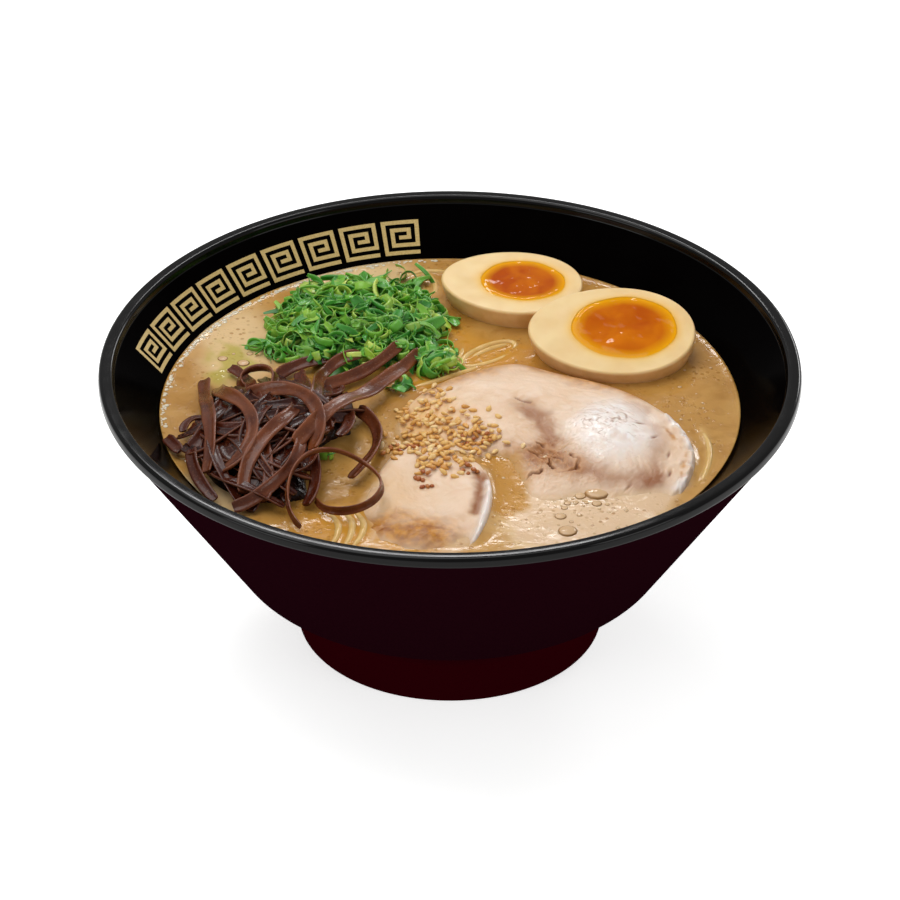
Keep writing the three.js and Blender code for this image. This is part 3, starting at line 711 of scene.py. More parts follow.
def egg_white_piece(name, egg, sides=200):
    """From the hollow under the yolk, over the cut face and its rounded edge, round the outside."""
    turn = full_turn(sides)
    half_length, half_width = egg["length"] / 2, egg["width"] / 2
    edge_x = half_length * np.cos(turn)
    edge_y = half_width * (1 + EGG_BLUNTNESS * np.cos(turn)) * np.sin(turn)
    yolk_x, yolk_y = yolk_outline(egg, turn)
    middle_x, middle_y = egg["yolk_at"]
    rings, cut, halo = [], [], []

    def add_ring(x, y, z, on_cut, near_yolk):
        rings.append(np.stack([x, y, np.broadcast_to(z, x.shape)], 1))
        cut.append(np.broadcast_to(on_cut, x.shape))
        halo.append(np.broadcast_to(near_yolk, x.shape))

    for reach in np.linspace(0, 1, 12):
        depth = egg["yolk"] / 2 * YOLK_ROUNDNESS * HOLLOW_DEPTH * math.sqrt(1 - reach ** 2)
        add_ring(part_way(middle_x, yolk_x, reach), part_way(middle_y, yolk_y, reach), -depth, 1, 1)
    for share in np.linspace(0.02, 1, 40):
        inset = EDGE_ROUNDING * share
        x = part_way(yolk_x, edge_x, share) * (1 - inset / half_length)
        y = part_way(yolk_y, edge_y, share) * (1 - inset / half_width)
        rise = 0.12 * layered_noise(x, y, 7, egg["seed"], 2) * math.sin(math.pi * share)
        away = np.hypot(x - yolk_x, y - yolk_y)
        add_ring(x, y, rise - CUT_DROP, 1, np.exp(-away / 1.3))
    for t in np.linspace(0.12, 1, 8):
        inset = EDGE_ROUNDING * (1 - math.sin(t * math.pi / 2))
        drop = EDGE_ROUNDING * (1 - math.cos(t * math.pi / 2))
        x, y = edge_x * (1 - inset / half_length), edge_y * (1 - inset / half_width)
        add_ring(x, y, -CUT_DROP - drop, 1 - t, 0)
    for steep in np.linspace(math.radians(SKIN_START), math.pi / 2, 46):
        around = half_width * (1 + EGG_BLUNTNESS * np.cos(turn) * math.cos(steep))
        x = half_length * np.cos(turn) * math.cos(steep)
        add_ring(x, around * np.sin(turn) * math.cos(steep), -around * math.sin(steep), 0, 0)
    piece = shell(name, rings, {"cut_face": np.array(cut), "halo": np.array(halo)})
    set_in_bowl(piece, egg)
    return piece


def yolk_piece(name, egg, sides=160):
    """A half-set yolk: its settled, rippled face over a round belly."""
    turn = full_turn(sides)
    edge_x, edge_y = yolk_outline(egg, turn, inset=0.05)
    middle_x, middle_y = egg["yolk_at"]
    rings, reaches = [], []
    for reach in np.linspace(0, 1, 60):
        x, y = part_way(middle_x, edge_x, reach), part_way(middle_y, edge_y, reach)
        ripple = 0.24 * value_noise(x, y, 9, egg["seed"] + 5) + 0.1 * value_noise(x, y, 4, egg["seed"] + 7)
        ripple = egg["ripple"] * ripple
        wrinkle = 0.03 * layered_noise(x * 0.6 + y, y * 0.6 - x, 2.4, egg["seed"] + 9, 2)
        face = (ripple + wrinkle + 0.1) * smoothstep(reach, 1, 0.88) - YOLK_DROP
        rings.append(np.stack([x, y, face], 1))
        reaches.append(np.full(sides, reach))
    for reach in np.linspace(0.995, 0, 14):
        low = -egg["yolk"] / 2 * YOLK_ROUNDNESS * BELLY_DEPTH * math.sqrt(1 - reach ** 2) - BELLY_DROP
        x, y = part_way(middle_x, edge_x, reach), part_way(middle_y, edge_y, reach)
        rings.append(np.stack([x, y, np.full(sides, low)], 1))
        reaches.append(np.full(sides, reach))
    piece = shell(name, rings, {"reach": np.array(reaches)})
    set_in_bowl(piece, egg)
    return piece


def boiled_egg_white():
    """Soft boiled white, stained by soy on its skin: cream and waxy, with light passing a little way in."""
    material, tree, surface, place = new_material("boiled_egg_white", {
        "Roughness": 0.34, "IOR": 1.36, "Subsurface Weight": 0.3, "Subsurface Radius": (0.9, 0.6, 0.3),
        "Subsurface Scale": 2 * MM})
    cloud = scaled(tree, noise(tree, place, 9, detail=2.0), 0.3, 0.7)
    cut = mix(tree, cloud, "#e9cc94", "#e2c086")
    cut = mix(tree, attribute(tree, "halo"), cut, "#e6ac30")
    skin = mix(tree, scaled(tree, noise(tree, place, 5), 0.3, 0.7), "#e0b880", "#d2a66a")
    tree.links.new(mix(tree, attribute(tree, "cut_face"), skin, cut), surface.inputs["Base Color"])
    raise_surface(tree, surface, noise(tree, place, 1.5, detail=2.0), 0.02)
    return material


def jammy_yolk():
    """Half-set yolk: a wet, deep orange gel, lighter at its edge, with sharp glints."""
    material, tree, surface, place = new_material("jammy_egg_yolk", {
        "Roughness": 0.05, "IOR": 1.4, "Specular IOR Level": 0.14, "Subsurface Weight": 0.1,
        "Subsurface Radius": (1.0, 0.4, 0.05), "Subsurface Scale": 1 * MM})
    patch = scaled(tree, noise(tree, place, 12, detail=2.0, distortion=0.5), 0.35, 0.65)
    middle = mix(tree, patch, "#b04a02", "#cc6e02")
    edge = scaled(tree, attribute(tree, "reach"), 0.72, 0.96)
    tree.links.new(mix(tree, edge, middle, "#e39c02"), surface.inputs["Base Color"])
    raise_surface(tree, surface, noise(tree, place, 2.5, detail=1.0), 0.04)
    return material


def make_eggs():
    white, yolk = boiled_egg_white(), jammy_yolk()
    for name, egg in EGGS.items():
        keep(egg_white_piece(f"{name}_egg_half", egg), "egg_white", f"egg_{name}_white", material=white)
        keep(yolk_piece(f"{name}_egg_jam", egg), "egg_yolk", f"egg_{name}_yolk", material=yolk)


# ---------------------------------------------------------------- the pork slices

PORK_BOTTOM = LEVEL - 5.5
LARGE_PORK = {
    "middle": (36, -31),
    "edge": [(79, -36), (75, -17), (62, 0), (49, 9.5), (36, 15.5), (22, 21.5), (9, 17.5), (-5, 8),
             (-15, -6), (-16.5, -17), (-9, -26.5), (5, -29.5), (14, -35.5), (18, -48), (18, -66),
             (20, -82), (38, -83.5), (58, -72.5), (72, -57)],
}
SMALL_PORK = {
    "middle": (-8, -58),
    "edge": [(13.5, -54), (10, -36), (-2, -28), (-13, -26), (-21, -35), (-26, -50), (-29, -66),
             (-27, -80), (-14, -88), (4, -87), (11, -72)],
}
LOBE_EDGE = [(-17, -10), (-15, -20), (-9, -26.5), (5, -29.5), (14, -35.5), (18, -48)]
SWIRL_MIDDLE = (30, -33)  # where the rolled meat's layers meet
SWIRL_HOLE = (30, -32)
SWIRL_FOLDS = [
    [(18, -32), (23, -31), (27.5, -32), (31, -37), (33, -41), (37, -43), (41, -40), (41.5, -37),
     (39, -34.5)],
    [(22.5, -46), (26, -44), (30, -42)],
    [(29, -27), (32, -29.5), (33.5, -34), (36.5, -37)],
]
SWIRL_VALLEY = [(25, -5), (29, -13), (32.5, -22), (31.5, -31)]
UNDER_DOME = [(42, -41), (50, -45), (57, -46.5), (63, -45)]
RING = [(60, -8), (65.5, -20), (67, -31), (66.5, -42), (62, -51)]
SMALL_CREASE = [(21.5, -0.6), (24, -1.8), (26.5, -2.4)]
FAT_EDGE = [(71, -14), (75.5, -21), (78, -30), (78.5, -38), (76.5, -47), (73, -54)]
FAT_SEAM = [(70.5, -21), (73.5, -28), (75, -36), (73.5, -45)]
SEARED_EDGE = [(-8, 6), (0, 12.5), (9, 17.5), (22, 21.5), (36, 15.5), (49, 9.5), (62, 0)]
SMALL_CUT_SIDE = [(9.5, -43), (10, -50), (9.6, -57), (8, -66)]
# A white line along the small slice's right edge: a painted highlight of the broth's meniscus, coloured and
# glossed as fat, and raised a little.
SMALL_GLINT_EDGE = [(12.3, -49), (12.8, -56), (11, -67), (9.5, -76), (6, -83)]
SMALL_SEARED_EDGE = [(-24, -72), (-17, -73.5), (-11, -75), (-3, -77)]
FLECKS = [(66, -25), (70.5, -33.5), (70.5, -43.5), (61.5, -18), (57, -50)]
POOL = [(17, -34), (18.5, -42), (20, -52), (19, -60)]  # of broth on and beside the large slice


def pork_outline(slice_, count):
    return smooth_curve(slice_["edge"], count, closed=True)


def large_pork_top(x, y):
    """Highest at the back and in the fat dome. The front goes under the broth."""
    lift = 3 * smoothstep(y, -62, -8)
    sink = 2.6 * smoothstep(y + 2 * layered_noise(x, y, 11, 61, 3), -46, -62)
    dome = 2.4 * bump(x, y, (51, -22), 13, 16)
    lobe = 2 * near_path(x, y, LOBE_EDGE, 7)
    return LEVEL + 1 + lift + dome - sink - lobe - 2.5 * near_path(x, y, POOL, 4)


def small_pork_top(x, y):
    """Highest at the right. The left side and the front go under the broth."""
    edge = 2 * layered_noise(x, y, 9, 67, 3)
    waves = 0.4 * np.sin(x / 5) * np.cos(y / 9)
    sink = 2.2 * np.maximum(smoothstep(y + edge, -74, -86), smoothstep(x + edge, -18, -28))
    return LEVEL + 1.5 + waves + 1.2 * bump(x, y, (12, -58), 8, 14) - sink


def swirl_part(x, y):
    """1 in the torn meat round the swirl's middle."""
    return bump(x, y, (30, -36), 13, 7.5, -25)


def fold_mask(x, y):
    """The narrow folds, broken up along their length. Their dark colour is painted shade."""
    depth = np.clip(0.5 + 0.8 * layered_noise(x, y, 4, 70, 2), 0.05, 0.9)
    x, y = ragged(x, y, 2.6, 1.2, 71)
    return depth * np.maximum.reduce([near_path(x, y, fold, 0.6) for fold in SWIRL_FOLDS])


def shreds(x, y):
    """Fine torn fibres that curl round the folds, from 0 to 1."""
    x, y = ragged(x, y, 5, 2.2, 76)
    return smoothstep(fibre_noise(x, y, (37, -38), 0.8, 47), 0.1, 0.8)


def fold_lips(x, y):
    """The pale lips beside the folds, and shreds of meat between them."""
    near_x, near_y = ragged(x, y, 2.6, 1.2, 71)
    wide = np.maximum.reduce([near_path(near_x, near_y, fold, 1.9) for fold in SWIRL_FOLDS])
    between = np.clip(1.3 * bump(x, y, (31, -36), 15, 9, -25), 0, 1) * shreds(x, y)
    return np.maximum(0.7 * wide * (1 - fold_mask(x, y)), 0.75 * between)


def shade_mask(x, y):
    """Brown meat and painted shade round the swirl, brown meat in the ring round the fat dome, and painted
    shade in the swirl's hole, in the valley beside the fat dome and under the dome.
    """
    x, y = ragged(x, y, 5, 1.8, 73)
    # painted shade: the hole, the valley and the place under the dome are darkened; the ring is the meat's
    # own brown
    hole = bump(x, y, SWIRL_HOLE, 6, 4)
    valley = 0.85 * near_path(x, y, SWIRL_VALLEY, 3.8)
    beside_fat = 0.65 * near_path(x, y, UNDER_DOME, 5) + 0.55 * near_path(x, y, RING, 2.8)
    return np.clip(0.8 * swirl_part(x, y) + 0.6 * hole + valley + beside_fat, 0, 1)


def fat_mask(x, y):
    """The pale fat: a dome beside the swirl, and a rim along the slice's right edge."""
    x, y = ragged(x, y, 7, 2.2, 75)
    dome = smoothstep(bump(x, y, (53, -20), 13.5, 18, 10), 0.12, 0.75)
    return np.maximum(dome, near_path(x, y, FAT_EDGE, 2.2))


def seared_mask(x, y):
    """The browned rind, which also shows through the broth, and the golden seam inside the fat rim."""
    rind = 0.8 * near_path(*ragged(x, y, 7, 2.2, 77), SEARED_EDGE, 4.4)
    seam = near_path(*ragged(x, y, 3, 1.4, 78), FAT_SEAM, 1.3)
    return np.maximum(rind, seam * np.clip(0.5 + layered_noise(x, y, 3, 79, 2), 0, 0.8))


def fleck_mask(x, y):
    """Small browned bits, and a crease in the meat darkened as painted shade."""
    bits = [bump(x, y, place, 1.6, 0.4, 35 + 40 * math.sin(place[0])) for place in FLECKS]
    return np.maximum.reduce([*bits, 0.8 * near_path(x, y, SMALL_CREASE, 0.35)])


def cracks(x, y):
    """Fine dark cracks in the fat, along the rolled layers."""
    x, y = ragged(x, y, 5, 1.2, 44)
    streaks = fibre_noise(x, y, SWIRL_MIDDLE, 1.6, 45)
    shown = smoothstep(value_noise(x, y, 6, 46), -0.1, 0.6)
    return shown * np.exp(-(streaks / 0.07) ** 2)


def broth_film(x, y):
    """Where a golden film of broth lies on the slices' left sides."""
    return 0.85 * np.maximum(bump(x, y, (-9, -14), 13, 15), bump(x, y, (-22, -62), 13, 26))


def pool_mask(x, y):
    """1 in the broth that stands on the large slice's left side."""
    return smoothstep(near_path(*ragged(x, y, 6, 2, 38), POOL, 5), 0.1, 0.7)


def waving_grain(x, y, centre, width, seed):
    """Fibres round a centre that wave, and that come and go as they do in meat."""
    strength = 0.3 + 0.7 * smoothstep(value_noise(x, y, 8, seed + 20), -0.5, 0.5)
    return strength * fibre_noise(*ragged(x, y, 7, 1.6, seed + 30), centre, width, seed)


def swirl_grain(x, y):
    return waving_grain(x, y, SWIRL_MIDDLE, 1.1, 43)


def small_grain(x, y):
    return waving_grain(x, y, (40, -20), 1.3, 53)


def large_pork_relief(x, y):
    """Folds, fibres and lumps, in mm over the slice's smooth top."""
    fat, swirl = fat_mask(x, y), swirl_part(x, y)
    edge = near_path(x, y, FAT_EDGE, 2.2) * (1 + 0.9 * layered_noise(x, y, 2.6, 49, 3))
    folds = 1.0 * fold_mask(x, y) + 1.5 * near_path(x, y, SWIRL_VALLEY, 4) + 0.5 * fleck_mask(x, y)
    lips = 0.6 * fold_lips(x, y) + 0.5 * swirl * layered_noise(x, y, 4, 51, 3)
    fibres = 0.13 * swirl_grain(x, y) * (1 - fat) - 0.16 * cracks(x, y) * fat
    lumps = 0.35 * layered_noise(x, y, 15, 47, 5) - 1.4 * bump(x, y, SWIRL_HOLE, 4, 3)
    return fibres + lips - folds + 0.9 * edge + lumps


def small_pork_relief(x, y):
    """The cut side's step, the raised edge under the painted highlight, the crust, fibres and lumps, in mm
    over the smooth top.
    """
    cut = 0.7 * near_path(x, y, SMALL_CUT_SIDE, 1.8)
    edge = near_path(x, y, SMALL_GLINT_EDGE, 1.5) * (0.8 + 0.4 * layered_noise(x, y, 4, 59, 2))
    crust = 0.3 * near_path(x, y, SMALL_SEARED_EDGE, 6) * layered_noise(x, y, 3, 58, 3)
    return 0.12 * small_grain(x, y) - cut + edge + crust + 0.3 * layered_noise(x, y, 10, 57, 5)


LARGE_PORK_MASKS = {
    "shade": shade_mask,
    "fat": fat_mask,
    "lips": fold_lips,
    "fold": fold_mask,
    "fleck": fleck_mask,
    "seared": seared_mask,
    "cracks": cracks,
    "film": broth_film,
    "pool": pool_mask,
    "grain": swirl_grain,
}
SMALL_PORK_MASKS = {
    # painted shade: a darker stripe in the step along the small slice's cut side
    "shade": lambda x, y: near_path(*ragged(x, y, 4, 0.8, 76), SMALL_CUT_SIDE, 1.9),
    # painted highlight: the small slice's white line, given the fat's colour and gloss
    "fat": lambda x, y: near_path(x, y, SMALL_GLINT_EDGE, 1.6),
    "seared": lambda x, y: near_path(*ragged(x, y, 8, 3, 79), SMALL_SEARED_EDGE, 7),
    "film": lambda x, y: 0.5 * broth_film(x, y),
    "grain": small_grain,
}


# The rounded edge and the underside: each ring's share of the way out, and how far it has dropped.
SLAB_EDGE = [(0.995, 0.35), (1.0, 1.1), (1.0, 2.6), (0.99, 4.5), (0.5, 9), (0, 9)]


def slab(name, slice_, top, relief, masks, sides, rings):
    """A slice of meat: a top face with relief, a rounded edge and a flat underside."""
    edge = pork_outline(slice_, sides)
    middle = np.array(slice_["middle"])
    edge_reach, edge_drop = zip(*SLAB_EDGE)
    reach = np.concatenate([np.linspace(0, 0.985, rings), edge_reach])
    drop = np.concatenate([np.zeros(rings), edge_drop])
    plan = middle + (edge - middle)[None] * reach[:, None, None]
    x, y = plan[..., 0], plan[..., 1]
    settle = smoothstep(reach, 0.93, 1.0)[:, None] * 0.6
    height = top(x, y) + relief(x, y) * smoothstep(reach, 1.0, 0.97)[:, None] - settle - drop[:, None]
    height = np.maximum(height, PORK_BOTTOM)
    values = {key: mask(x, y) for key, mask in masks.items()}
    values["awash"] = smoothstep(height, LEVEL + 1.1, LEVEL)
    return shell(name, np.stack([x, y, height], -1), values)


def pork_meat():
    """Simmered rolled belly: beige fibres, white glossy fat and brown at its seared edge, with painted
    shade in its folds, its valley and a crease, and a painted white highlight along the small slice's edge.
    """
    material, tree, surface, place = new_material("simmered_pork", {
        "Roughness": 0.36, "IOR": 1.4, "Subsurface Weight": 0.2, "Subsurface Radius": (1.0, 0.5, 0.3),
        "Subsurface Scale": 2 * MM})
    cloud = scaled(tree, noise(tree, place, 14, detail=4.0), 0.3, 0.7)
    meat = mix(tree, cloud, "#e5c8ab", "#d8b18a")
    streak = scaled(tree, attribute(tree, "grain"), -0.8, 0.8, 0.0, 0.35)
    meat = mix(tree, streak, meat, "#efdccb")
    meat = mix(tree, attribute(tree, "film"), meat, "#e0af66")
    # painted shade in the swirl's hole, the valley and under the dome, with the meat's own brown round the
    # swirl and in the ring
    meat = mix(tree, attribute(tree, "shade"), meat, "#945a2e")
    meat = mix(tree, attribute(tree, "lips"), meat, "#cb9868")
    streaky = scaled(tree, attribute(tree, "grain"), -0.6, 0.8)
    fat = mix(tree, streaky, "#f3ebe5", "#e3d2c6")
    fat = mix(tree, attribute(tree, "cracks"), fat, "#b79a8a")
    meat = mix(tree, attribute(tree, "fat"), meat, fat)
    # painted shade in the folds
    meat = mix(tree, attribute(tree, "fold"), meat, "#74401f")
    # browned bits, and painted shade in a crease
    meat = mix(tree, attribute(tree, "fleck"), meat, "#84492f")
    awash = scaled(tree, attribute(tree, "awash"), 0.0, 1.0, 0.0, 0.85)
    meat = mix(tree, awash, meat, "#d9b68e")
    meat = mix(tree, scaled(tree, attribute(tree, "pool"), 0.0, 1.0, 0.0, 0.85), meat, "#c39455")
    crust = mix(tree, scaled(tree, noise(tree, place, 3, detail=4.0), 0.35, 0.65), "#c68624", "#98580f")
    tree.links.new(mix(tree, attribute(tree, "seared"), meat, crust), surface.inputs["Base Color"])
    wet = scaled(tree, attribute(tree, "fat"), 0.0, 1.0, 0.36, 0.16)
    tree.links.new(wet, surface.inputs["Roughness"])
    raise_surface(tree, surface, noise(tree, place, 1.1, detail=4.0), 0.12)
    return material


def make_pork():
    meat = pork_meat()
    large = slab("large_pork_slice", LARGE_PORK, large_pork_top, large_pork_relief, LARGE_PORK_MASKS,
                 sides=420, rings=150)
    small = slab("small_pork_slice", SMALL_PORK, small_pork_top, small_pork_relief, SMALL_PORK_MASKS,
                 sides=300, rings=80)
    keep(large, "pork", "pork_large", material=meat)
    keep(small, "pork", "pork_small", material=meat)


# ---------------------------------------------------------------- the sesame seeds

# Each cluster: x, y, width and depth of most of it, and its count.
SEED_CLUSTERS = [
    (-8, -4, 12, 10, 26), (-6, -16, 16, 11, 42), (0, -22, 18, 11, 50), (4, -26, 16, 8, 30),
    (-2, -34, 13, 12, 36), (-15, -27, 9, 5, 16), (4, -8, 8, 8, 5), (1, 1, 5, 3, 3), (14, -12, 5, 2, 1),
]
CRUMB_CLUSTERS = [(-16.5, -27, 8, 4, 12), (-8, -47, 4, 8, 8), (10, -25, 6, 4, 9), (7, -42, 4, 5, 5)]
SEED_SIDES, SEED_RINGS = 8, 6  # few faces on each, as there are hundreds
CLUSTER_SPREAD = 0.4  # standard deviation in a cluster over its width
PLACE_TRIES = 30  # for each thing, before it is left out


def scattered(clusters, spacing, seed):
    """Places crowded in some clusters, each with its turn, at least a spacing apart."""
    chance = np.random.default_rng(seed)
    places = []
    for x, y, width, depth, count in clusters:
        for _ in range(count):
            for _ in range(PLACE_TRIES):
                dx, dy = chance.normal(0, CLUSTER_SPREAD, 2)
                place = (x + dx * width, y + dy * depth, chance.uniform(0, 2 * math.pi))
                if all(math.hypot(place[0] - other[0], place[1] - other[1]) > spacing for other in places):
                    places.append(place)
                    break
    return np.array(places)


def seed_tree():
    """Lays a pointed, rounded seed at each of the base's points."""
    tree, inputs = new_tree("Seeds", {
        "Length": float, "Width": float, "Thickness": float, "Taper": float,
        "Material": bpy.types.Material})
    ball = add_node(tree, "GeometryNodeMeshUVSphere", inputs={
        "Segments": SEED_SIDES, "Rings": SEED_RINGS, "Radius": 0.5})
    side = position_parts(tree)
    slim = arithmetic(tree, "SUBTRACT", 1.0, arithmetic(tree, "MULTIPLY", side["Z"], inputs["Taper"]))
    across = arithmetic(tree, "MULTIPLY", side["X"], slim)
    upward = arithmetic(tree, "MULTIPLY", side["Y"], slim)
    grown = add_node(tree, "ShaderNodeCombineXYZ", inputs={
        "X": arithmetic(tree, "MULTIPLY", side["Z"], inputs["Length"]),
        "Y": arithmetic(tree, "MULTIPLY", across, inputs["Width"]),
        "Z": arithmetic(tree, "MULTIPLY", upward, inputs["Thickness"])})
    shaped = add_node(tree, "GeometryNodeSetPosition", inputs={"Geometry": ball, "Position": grown})
    turn = add_node(tree, "FunctionNodeEulerToRotation", inputs={0: named(tree, "turn", "FLOAT_VECTOR")})
    laid = add_node(tree, "GeometryNodeInstanceOnPoints", inputs={
        "Points": inputs["Geometry"], "Instance": shaped, "Rotation": turn, "Scale": named(tree, "size")})
    end_tree(tree, laid, inputs["Material"])
    return tree


def toasted_sesame():
    """Toasted, hulled sesame: golden tan, each seed its own shade, its skin wet enough to glint."""
    material, tree, surface, place = new_material("toasted_sesame", {
        "Roughness": 0.3, "IOR": 1.45, "Subsurface Weight": 0.1, "Subsurface Radius": (1.0, 0.6, 0.3),
        "Subsurface Scale": 0.6 * MM})
    tone = ramp(tree, attribute(tree, "tone"), (0.0, "#a04e20"), (0.15, "#c07a34"), (0.4, "#dba24e"),
                (0.8, "#e8bd72"), (1.0, "#f1d49c"))
    mottle = scaled(tree, noise(tree, place, 0.6), 0.4, 0.7, 0.0, 0.25)
    tree.links.new(mix(tree, mottle, tone, "#c0803a"), surface.inputs["Base Color"])
    raise_surface(tree, surface, noise(tree, place, 0.35), 0.03)
    return material


def toppings_height(x, y):
    """The height of what seeds fall on: the slices, or the broth between them."""
    large = np.where(shore_distance(x, y, pork_outline(LARGE_PORK, 160)) < 0,
                     large_pork_top(x, y) + large_pork_relief(x, y), LEVEL)
    small = np.where(shore_distance(x, y, pork_outline(SMALL_PORK, 90)) < 0,
                     small_pork_top(x, y) + small_pork_relief(x, y), LEVEL)
    return np.maximum(large, small)


def seed_piece(name, places, tones, seed, length, width, thickness, taper):
    """One piece of many seeds, four in ten of them lying tipped on their neighbours."""
    chance = np.random.default_rng(seed)
    x, y, turn = places.T
    count = len(places)
    stack = np.where(chance.uniform(0, 1, count) < 0.4, 0.6 * thickness, 0)
    height = toppings_height(x, y) + 0.22 * thickness + stack
    base = mesh_object(f"{name}_places", np.stack([x, y, height], 1))
    tip = chance.normal(0, 0.18, (2, count)) * (1 + stack)
    store(base, "turn", np.stack([tip[0], tip[1], turn], 1))
    store(base, "size", chance.uniform(0.85, 1.08, count))
    store(base, "tone", chance.uniform(*tones, count))
    tree = bpy.data.node_groups.get("Seeds") or seed_tree()
    return grow(name, base, tree, {
        "Length": length * MM, "Width": width * MM, "Thickness": thickness * MM, "Taper": taper,
        "Material": bpy.data.materials.get("toasted_sesame") or toasted_sesame()})


def make_sesame(settings):
    length = settings.seed_length / MM
    seed_places = scattered(SEED_CLUSTERS, spacing=1.4, seed=5)
    crumb_places = scattered(CRUMB_CLUSTERS, spacing=1.1, seed=6)
    seeds = seed_piece("sesame_seeds", seed_places, tones=(0.25, 1), seed=9,
                       length=length, width=0.62 * length, thickness=0.42 * length, taper=0.7)
    crumbs = seed_piece("fried_crumbs", crumb_places, tones=(0, 0.12), seed=10,
                        length=2.1, width=1.6, thickness=1.2, taper=0.3)
    for piece in (seeds, crumbs):
        keep(piece, "sesame", "pork_large", "pork_small")


# ---------------------------------------------------------------- the wood-ear heap

WOOD_EAR = {"x": -56, "y": -26, "width": 70, "depth": 84, "hump": 10.5, "sunk": 3}
HEAP_OPENING = {"x": -32, "y": -42, "width": 21, "depth": 42}  # where broth shows between the strips
SCALLIONS = {"x": -31, "y": 48, "width": 56, "depth": 54, "hump": 7.5, "sunk": 2.5}
SCALLION_CLUMP = {"x": -4.5, "y": 24, "width": 12, "depth": 11, "hump": 3, "sunk": 2.5}
STRIP_THICKNESS = 1.4
STRIP_WIDENING = 1.12  # of the strips, once their curled edges take some of their width
STRIP_STEP = 1.1  # between places along a strip
CORE_TO_WALL = 1.2
# A core's edge and underside: each ring's share of the way out, and of its height.
CORE_EDGE = [(0.99, 0.85), (1.0, 0.5), (0.98, 0), (0.5, 0), (0, 0)]

# Each strip: start x and y, heading, length, turn of its first and second half, height over the
# heap, arch, width, and roll of its face away from level. The lowest strips come first.
STRIPS = [
    (-83, -34, 271, 27, 19, 19, 0.2, 0.6, 3.6, 25),
    (-92, -22, 302, 11, -15, 16, 0.3, 0.2, 3.6, 15),
    (-80, -16, 153, 10, 78, 41, 0.2, 0.5, 3.0, 20),
    (-73, 21, 311, 38, -52, 41, 0.2, 0.8, 3.6, 25),
    (-50, 18, 279, 48, 0, 17, 0.2, 0.8, 3.6, 25),
    (-35, 2, 275, 33, 17, -65, 0.2, 0.4, 3.4, 15),
    (-60, -38, 283, 25, -3, -32, 0.2, 0.3, 3.6, 15),
    (-57, 16, 58, 19, -48, -15, 0.2, 0.4, 3.6, 25),
    (-67, 3, 141, 28, -214, -22, 0.2, 4.5, 3.4, -55),
    (-30, -8, 315, 44, -69, -3, 0.3, 1.2, 3.8, 35),
    (-48, -36, 270, 38, -36, -45, 0.4, 1.4, 3.8, -35),
    (-81, 13, 270, 61, 18, -32, 0.4, 2.0, 4.2, 25),
    (-30, 23, 188, 41, 109, -52, 0.4, 2.4, 4.0, -30),
    (-17, 29, 240, 34, -40, 30, 0.4, 0.8, 4.0, -30),
    (-50, -19, 255, 44, -38, 70, 0.6, 2.0, 4.2, -20),
    (-76, 7, 270, 63, 74, -171, 0.6, 3.2, 4.2, 30),
    (-66, -8, 0, 48, -62, -55, 0.8, 3.8, 4.4, 40),
    (-10, 28, 238, 78, 4, -4, 1.0, 3.4, 4.4, -25),
    (-47, -74, 119, 91, -115, -290, 0.2, 4.4, 2.6, -70),
]


def inside_share(heap, x, y, room=0.0):
    """1 at the middle of a heap, 0 on its outline."""
    across = (x - heap["x"]) / ((heap["width"] + room) / 2)
    along = (y - heap["y"]) / ((heap["depth"] + room) / 2)
    return 1 - across ** 2 - along ** 2


def wood_ear_ground(x, y):
    return LEVEL + 0.8 + WOOD_EAR["hump"] * np.maximum(0, inside_share(WOOD_EAR, x, y))


def scallion_ground(heap, x, y, room=0.0):
    share = inside_share(heap, x, y, room)
    return np.where(share > 0, LEVEL + 0.6 + heap["hump"] * np.maximum(share, 0) ** 0.7, LEVEL)


def settled(heights, window=11):
    """Heights along a path without their sharp steps, as a stiff strip lies."""
    padded = np.pad(heights, window // 2, mode="edge")
    return np.convolve(padded, np.full(window, 1 / window), mode="valid")


def strip_strand(row, tone, chance):
    """A strip that follows the heap, or keeps just above the broth and the scallions beside it."""
    x, y, heading, length, bend, hook, lay, arch, width, roll = row
    tilt = abs(math.radians(roll))
    half = (width * math.sin(tilt) + STRIP_THICKNESS * math.cos(tilt)) / 2 + 0.4
    count = max(12, int(length / STRIP_STEP))
    plan = smooth_curve(winding_path(x, y, heading, length, bend, hook), count)
    along = np.linspace(0, 1, len(plan))
    beside = [scallion_ground(heap, *plan.T, room=5) + half for heap in (SCALLIONS, SCALLION_CLUMP)]
    ground = np.maximum.reduce([wood_ear_ground(*plan.T) + lay, *beside])
    height = settled(ground) + arch * np.sin(math.pi * along)
    phase = chance.uniform(0, 6.3)
    wave = 1 + 0.1 * np.sin(along * length / 7 + phase) + 0.05 * np.sin(along * length / 2.6 + 2 * phase)
    ends = 0.72 + 0.28 * smoothstep(np.minimum(along, 1 - along) * length, 0, 1.8)
    sway = roll + 9 * np.sin(along * length / 11 + phase)
    return strand(np.column_stack([plan, height]), STRIP_WIDENING * width * wave * ends, sway, tone)


def extra_strips(count, chance):
    """Rows for the strips that fill the heap under those that show whole, most of them front to back."""
    rows = []
    while len(rows) < count:
        spread, angle = math.sqrt(chance.uniform(0, 0.95)), chance.uniform(0, 2 * math.pi)
        x = WOOD_EAR["x"] + math.cos(angle) * spread * WOOD_EAR["width"] / 2
        y = WOOD_EAR["y"] + math.sin(angle) * spread * WOOD_EAR["depth"] / 2
        row = (x, y, chance.normal(262, 45), chance.uniform(24, 50), chance.uniform(-100, 100),
               chance.uniform(-100, 100), chance.uniform(-2.4, -0.3), chance.uniform(0, 2.2),
               chance.uniform(3.0, 4.4), chance.uniform(-40, 40))
        path = winding_path(*row[:6])
        in_heap = np.all(inside_share(WOOD_EAR, *path.T) > 0.02)
        clear = np.all(inside_share(HEAP_OPENING, *path.T) < 0)
        if in_heap and clear and np.all(np.hypot(*path.T) < BROTH_RADIUS - 4):
            rows.append(row)
    return rows


